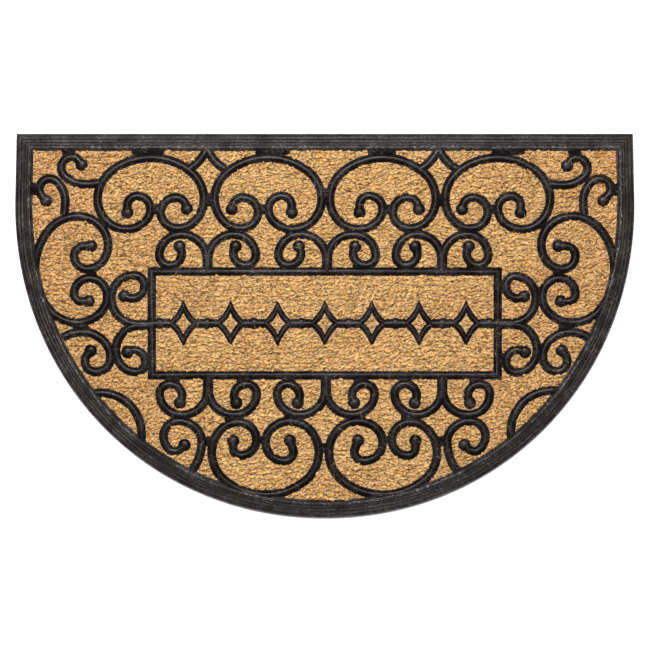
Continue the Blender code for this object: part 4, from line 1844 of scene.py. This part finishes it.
    def yarn(self, rng: Random) -> Strands:
        """Lays the strands of the twisted yarn, row by row.

        Args:
            rng: The seeded source of their unevenness.

        Returns:
            The strands that show.
        """
        rows = np.arange(-self.half_depth, self.half_depth, self.row_pitch)
        steps = np.arange(-self.half_width, self.half_width, self.strand_step)
        x, y = np.meshgrid(steps, rows)
        x = x + (np.arange(len(rows)) % self.rows_apart * self.strand_step / self.rows_apart)[:, None]
        x = x.ravel()
        y = y.ravel()
        count = len(x)
        x += rng.normal(0, self.step_scatter, count)
        y += self.wander(x, y) + rng.normal(0, self.row_scatter, count)
        swing = self.slant_swing * drift(x, y, stretch=90, phase=0.4)
        tilt = self.slant + swing + rng.normal(0, self.slant_scatter, count)
        stray = rng.random(count) < self.stray_share
        tilt[stray] = rng.uniform(*self.stray_slants, stray.sum())
        length = self.strand_length * rng.uniform(*self.size_range, count)
        number, x, y, heading, bit = self.free_bits(x, y, np.radians(tilt), length, rng)
        count = len(number)
        cut = bit / length[number]
        uncut_width = self.strand_width * rng.uniform(*self.size_range, count)
        level = self.strand_level + rng.normal(0, self.level_scatter, count)
        return Strands(
            place=np.stack([x, y, level], axis=1),
            heading=heading,
            length=bit * self.overlap,
            width=uncut_width * (self.cut_width + (1 - self.cut_width) * cut),
            shade=self.shade.over(x, y, rng),
            warmth=self.warmth.over(x, y, rng),
            height=self.strand_height * rng.uniform(*self.height_range, count),
            bow=rng.normal(0, self.strand_bow, count) * cut,
            arch=self.strand_arch * (self.cut_arch + (1 - self.cut_arch) * cut),
        )

    def fibres(self, yarn: Strands, rng: Random) -> Strands:
        """Lays fine bundles of fibre over each strand.

        Args:
            yarn: The strands.
            rng: The seeded source of their unevenness.

        Returns:
            The bundles.
        """
        number = np.repeat(np.arange(len(yarn)), self.fibres_per_strand)
        lanes = np.linspace(-self.lane_reach, self.lane_reach, self.fibres_per_strand)
        count = len(number)
        lane = np.tile(lanes, len(yarn)) + rng.normal(0, self.lane_scatter, count)
        host = yarn.chosen(number)
        slide = rng.uniform(-self.slide_reach, self.slide_reach, count) * host.length
        side = lane * host.width / 2
        x = host.place[:, 0] + slide * np.cos(host.heading) - side * np.sin(host.heading)
        y = host.place[:, 1] + slide * np.sin(host.heading) + side * np.cos(host.heading)
        lift = np.sqrt(np.clip(1 - self.lane_fall * lane**2, self.least_lift, 1)) * host.height / 2
        z = host.place[:, 2] + lift + rng.normal(*self.lift_scatter, count)
        # Dark flecks are partly the coir's own dark fibres and partly painted shade: more of them lie on the
        # strands' outer lanes, in the gaps between the rows.
        dark = rng.random(count) < self.dark_and_shade_flecks * (self.fleck_middle + self.fleck_outer_shade * lane**2)
        spread = np.radians(np.where(dark, self.fleck_spread, self.fibre_spread))
        return Strands(
            place=np.stack([x, y, z], axis=1),
            heading=host.heading + rng.normal(0, 1, count) * spread,
            length=host.length * rng.uniform(*self.fibre_lengths, count),
            width=self.fibre_width * rng.uniform(*self.fibre_widths, count),
            height=self.fibre_width * rng.uniform(*self.fibre_heights, count),
            bow=host.bow * (1 - self.bow_by_lane * np.abs(lane)) + rng.normal(0, self.fibre_bow, count),
            arch=host.arch + rng.normal(0, self.fibre_arch, count),
            shade=host.shade + rng.normal(*self.shade_scatter, count) - self.fleck_shade * dark,
            warmth=host.warmth + rng.normal(0, self.warmth_scatter, count),
        )

    def stray_hairs(self, rng: Random) -> Strands:
        """Scatters single pale hairs over the coir.

        Args:
            rng: The seeded source of their places.

        Returns:
            The hairs.
        """
        x = rng.uniform(-self.hairs_half_width, self.hairs_half_width, self.hairs * 2)
        y = rng.uniform(-self.hairs_half_depth, self.hairs_half_depth, self.hairs * 2)
        heading = np.radians(rng.normal(*self.hair_slant_scatter, len(x)))
        length = rng.uniform(*self.hair_lengths, len(x)) * MM
        bits = self.free_bits(x, y, heading, length, rng)
        _, x, y, heading, bit = (values[: self.hairs] for values in bits)
        level = self.hair_level + rng.normal(0, self.hair_level_scatter, len(x))
        return STRAY_LOOKS.hairs(np.stack([x, y, level], axis=1), heading, bit, rng)

    def crossing_hairs(self, rng: Random) -> Strands:
        """Lays a few single hairs across the bars.

        Args:
            rng: The seeded source of their places.

        Returns:
            The hairs.
        """
        x = rng.uniform(-self.crossing_half_width, self.crossing_half_width, self.crossing * 3)
        y = rng.uniform(-self.crossing_half_depth, self.crossing_half_depth, len(x))
        on_mat = self.inside_mat(x, y) & (self.ground.from_edge(x, y) > self.crossing_inset)
        over_bar = self.ground.from_bars(x, y) < self.clear_of_bar
        chosen = np.flatnonzero(on_mat & over_bar)[: self.crossing]
        length = rng.uniform(*self.crossing_lengths, len(chosen)) * MM
        heading = rng.uniform(0, math.pi, len(chosen))
        level = np.full(len(chosen), self.crossing_level)
        return CROSSING_LOOKS.hairs(np.stack([x[chosen], y[chosen], level], axis=1), heading, length, rng)

    def piece(self, name: str, spindle: Spindle, strands: Strands, material: Material, rng: Random) -> Piece:
        """Makes one dressed piece of many bits of fibre.

        Args:
            name: The piece's name.
            spindle: The shape of each bit.
            strands: The bits.
            material: The coir's finish.
            rng: The seeded source of the pattern's shifts.

        Returns:
            The piece.
        """
        mesh = spindle.copies(name, strands, rng)
        mesh.materials.append(material)
        return dress(link_object(name, mesh), Slot.COIR)

    def build(self, backing: Material, coir: Material, rests_on: Piece) -> None:
        """Builds the sheet and all that lies on it.

        Args:
            backing: The sheet's finish.
            coir: The yarn's finish.
            rests_on: Not used.
        """
        rng = np.random.default_rng(self.seed)
        sheet = dress(self.sheet(backing), Slot.COIR, Node.CLOTH)
        yarn = self.yarn(rng)
        fibres = self.fibres(yarn, rng)
        hairs = self.stray_hairs(rng).joined(self.crossing_hairs(rng))
        thirds = np.quantile(fibres.place[:, 0], (1 / 3, 2 / 3))
        yarn_shape = Spindle(around=5, lengthwise=5)
        fibre_shape = Spindle(around=3, lengthwise=4)
        for name, spindle, strands, borders in (
            ("coir_yarn", yarn_shape, yarn, (0,)),
            ("coir_fibre", fibre_shape, fibres, thirds),
        ):
            band = np.digitize(strands.place[:, 0], borders)
            for index in range(len(borders) + 1):
                self.piece(f"{name}_{index}", spindle, strands.chosen(band == index), coir, rng)
        self.piece("coir_hairs", Spindle(around=3, lengthwise=7, point=1.0), hairs, coir, rng)
        area = area_of(self.shape.outline(self.edge_inset))


def area_of(outline: Sequence[Point]) -> float:
    """Returns the area inside a closed outline."""
    x, y = np.array(outline).T
    return float(abs(np.dot(x, np.roll(y, -1)) - np.dot(y, np.roll(x, -1))) / 2)


@dataclass
class Studio:
    """The floor, the lights and the camera."""

    view_width: float = 786.3 * MM
    centre: Point = (0.3 * MM, 0.6 * MM)
    camera_height: float = 3.2
    mat_level: float = 8 * MM
    sensor: float = 36
    floor_level: float = -0.3 * MM
    floor_size: float = 8
    key_place: tuple[float, float, float] = (-0.15, 1.35, 3.0)
    key_size: Point = (1.3, 0.9)
    key_power: float = 150
    sky: float = 0.33

    def add_floor(self) -> None:
        """Adds the plain floor."""
        bm = bmesh.new()
        bmesh.ops.create_grid(bm, x_segments=1, y_segments=1, size=self.floor_size / 2)
        bmesh.ops.translate(bm, verts=bm.verts, vec=(0, 0, self.floor_level))
        mesh_object("floor", bm, FloorFinish("white_floor").make(), sharp=30)

    def add_light(self) -> None:
        """Adds the large soft light beyond the straight edge, and an even sky."""
        light = bpy.data.lights.new("soft_light", "AREA")
        light.shape = "RECTANGLE"
        light.size, light.size_y = self.key_size
        light.energy = self.key_power
        obj = link_object("soft_light", light)
        obj.location = self.key_place
        obj.rotation_mode = "QUATERNION"
        obj.rotation_quaternion = Vector(self.key_place).to_track_quat("Z", "Y")
        world = bpy.data.worlds.new("even_sky")
        world.use_nodes = True
        world.node_tree.nodes["Background"].inputs["Color"].default_value = (1, 1, 1, 1)
        world.node_tree.nodes["Background"].inputs["Strength"].default_value = self.sky
        bpy.context.scene.world = world
        bpy.context.scene.view_settings.view_transform = "Standard"

    def add_camera(self) -> None:
        """Adds the camera straight above the mat."""
        camera = bpy.data.cameras.new("camera")
        camera.sensor_width = self.sensor
        camera.lens = self.sensor * (self.camera_height - self.mat_level) / self.view_width
        obj = link_object("camera", camera)
        obj.location = (*self.centre, self.camera_height)
        bpy.context.scene.camera = obj

    def build(self) -> None:
        """Builds the stage."""
        self.add_floor()
        self.add_light()
        self.add_camera()


def main() -> None:
    """Builds the pieces in order and reports each one."""
    logging.basicConfig(level=logging.INFO, format="%(name)s: %(message)s")
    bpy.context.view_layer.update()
    shape = MatShape()
    section = BarSection()
    border = Border(shape)
    scrolls = ScrollWork(section, border)
    panel = Panel(section, scrolls)
    lines = [(line, False) for line, _ in scrolls.lines()]
    ground = Ground(shape, [*lines, *panel.covered()], [*scrolls.spots(), *panel.spots()])
    Studio().build()
    wear = RubberWear()
    # The border's finish paints shade into its grooves, and highlight along its top rib's crest with the
    # dust colour.
    edge_rubber = RubberFinish(
        "border_rubber",
        colour=(0.008, 0.0066, 0.0068),
        worn=(0.072, 0.062, 0.062),
        specular=0.045,
        shaded_specular=0.045,
        lines=0.5,
        dust_share=1.0,
        grain_depth=0.3 * MM,
        follows_edge=True,
    ).make(wear)
    bar_rubber = RubberFinish("bar_rubber").make(wear)
    border_piece = border.build(edge_rubber)
    scrolls.build(bar_rubber, ground)
    panel.build(bar_rubber)
    backing = BackingFinish("coir_backing").make()
    coir_fibre = CoirFinish("coir_fibre").make(FibreStreaks())
    Coir(shape, ground).build(backing, coir_fibre, border_piece)
    LOG.info("the frame has %d nodes", len(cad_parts))


if __name__ == "__main__":
    main()
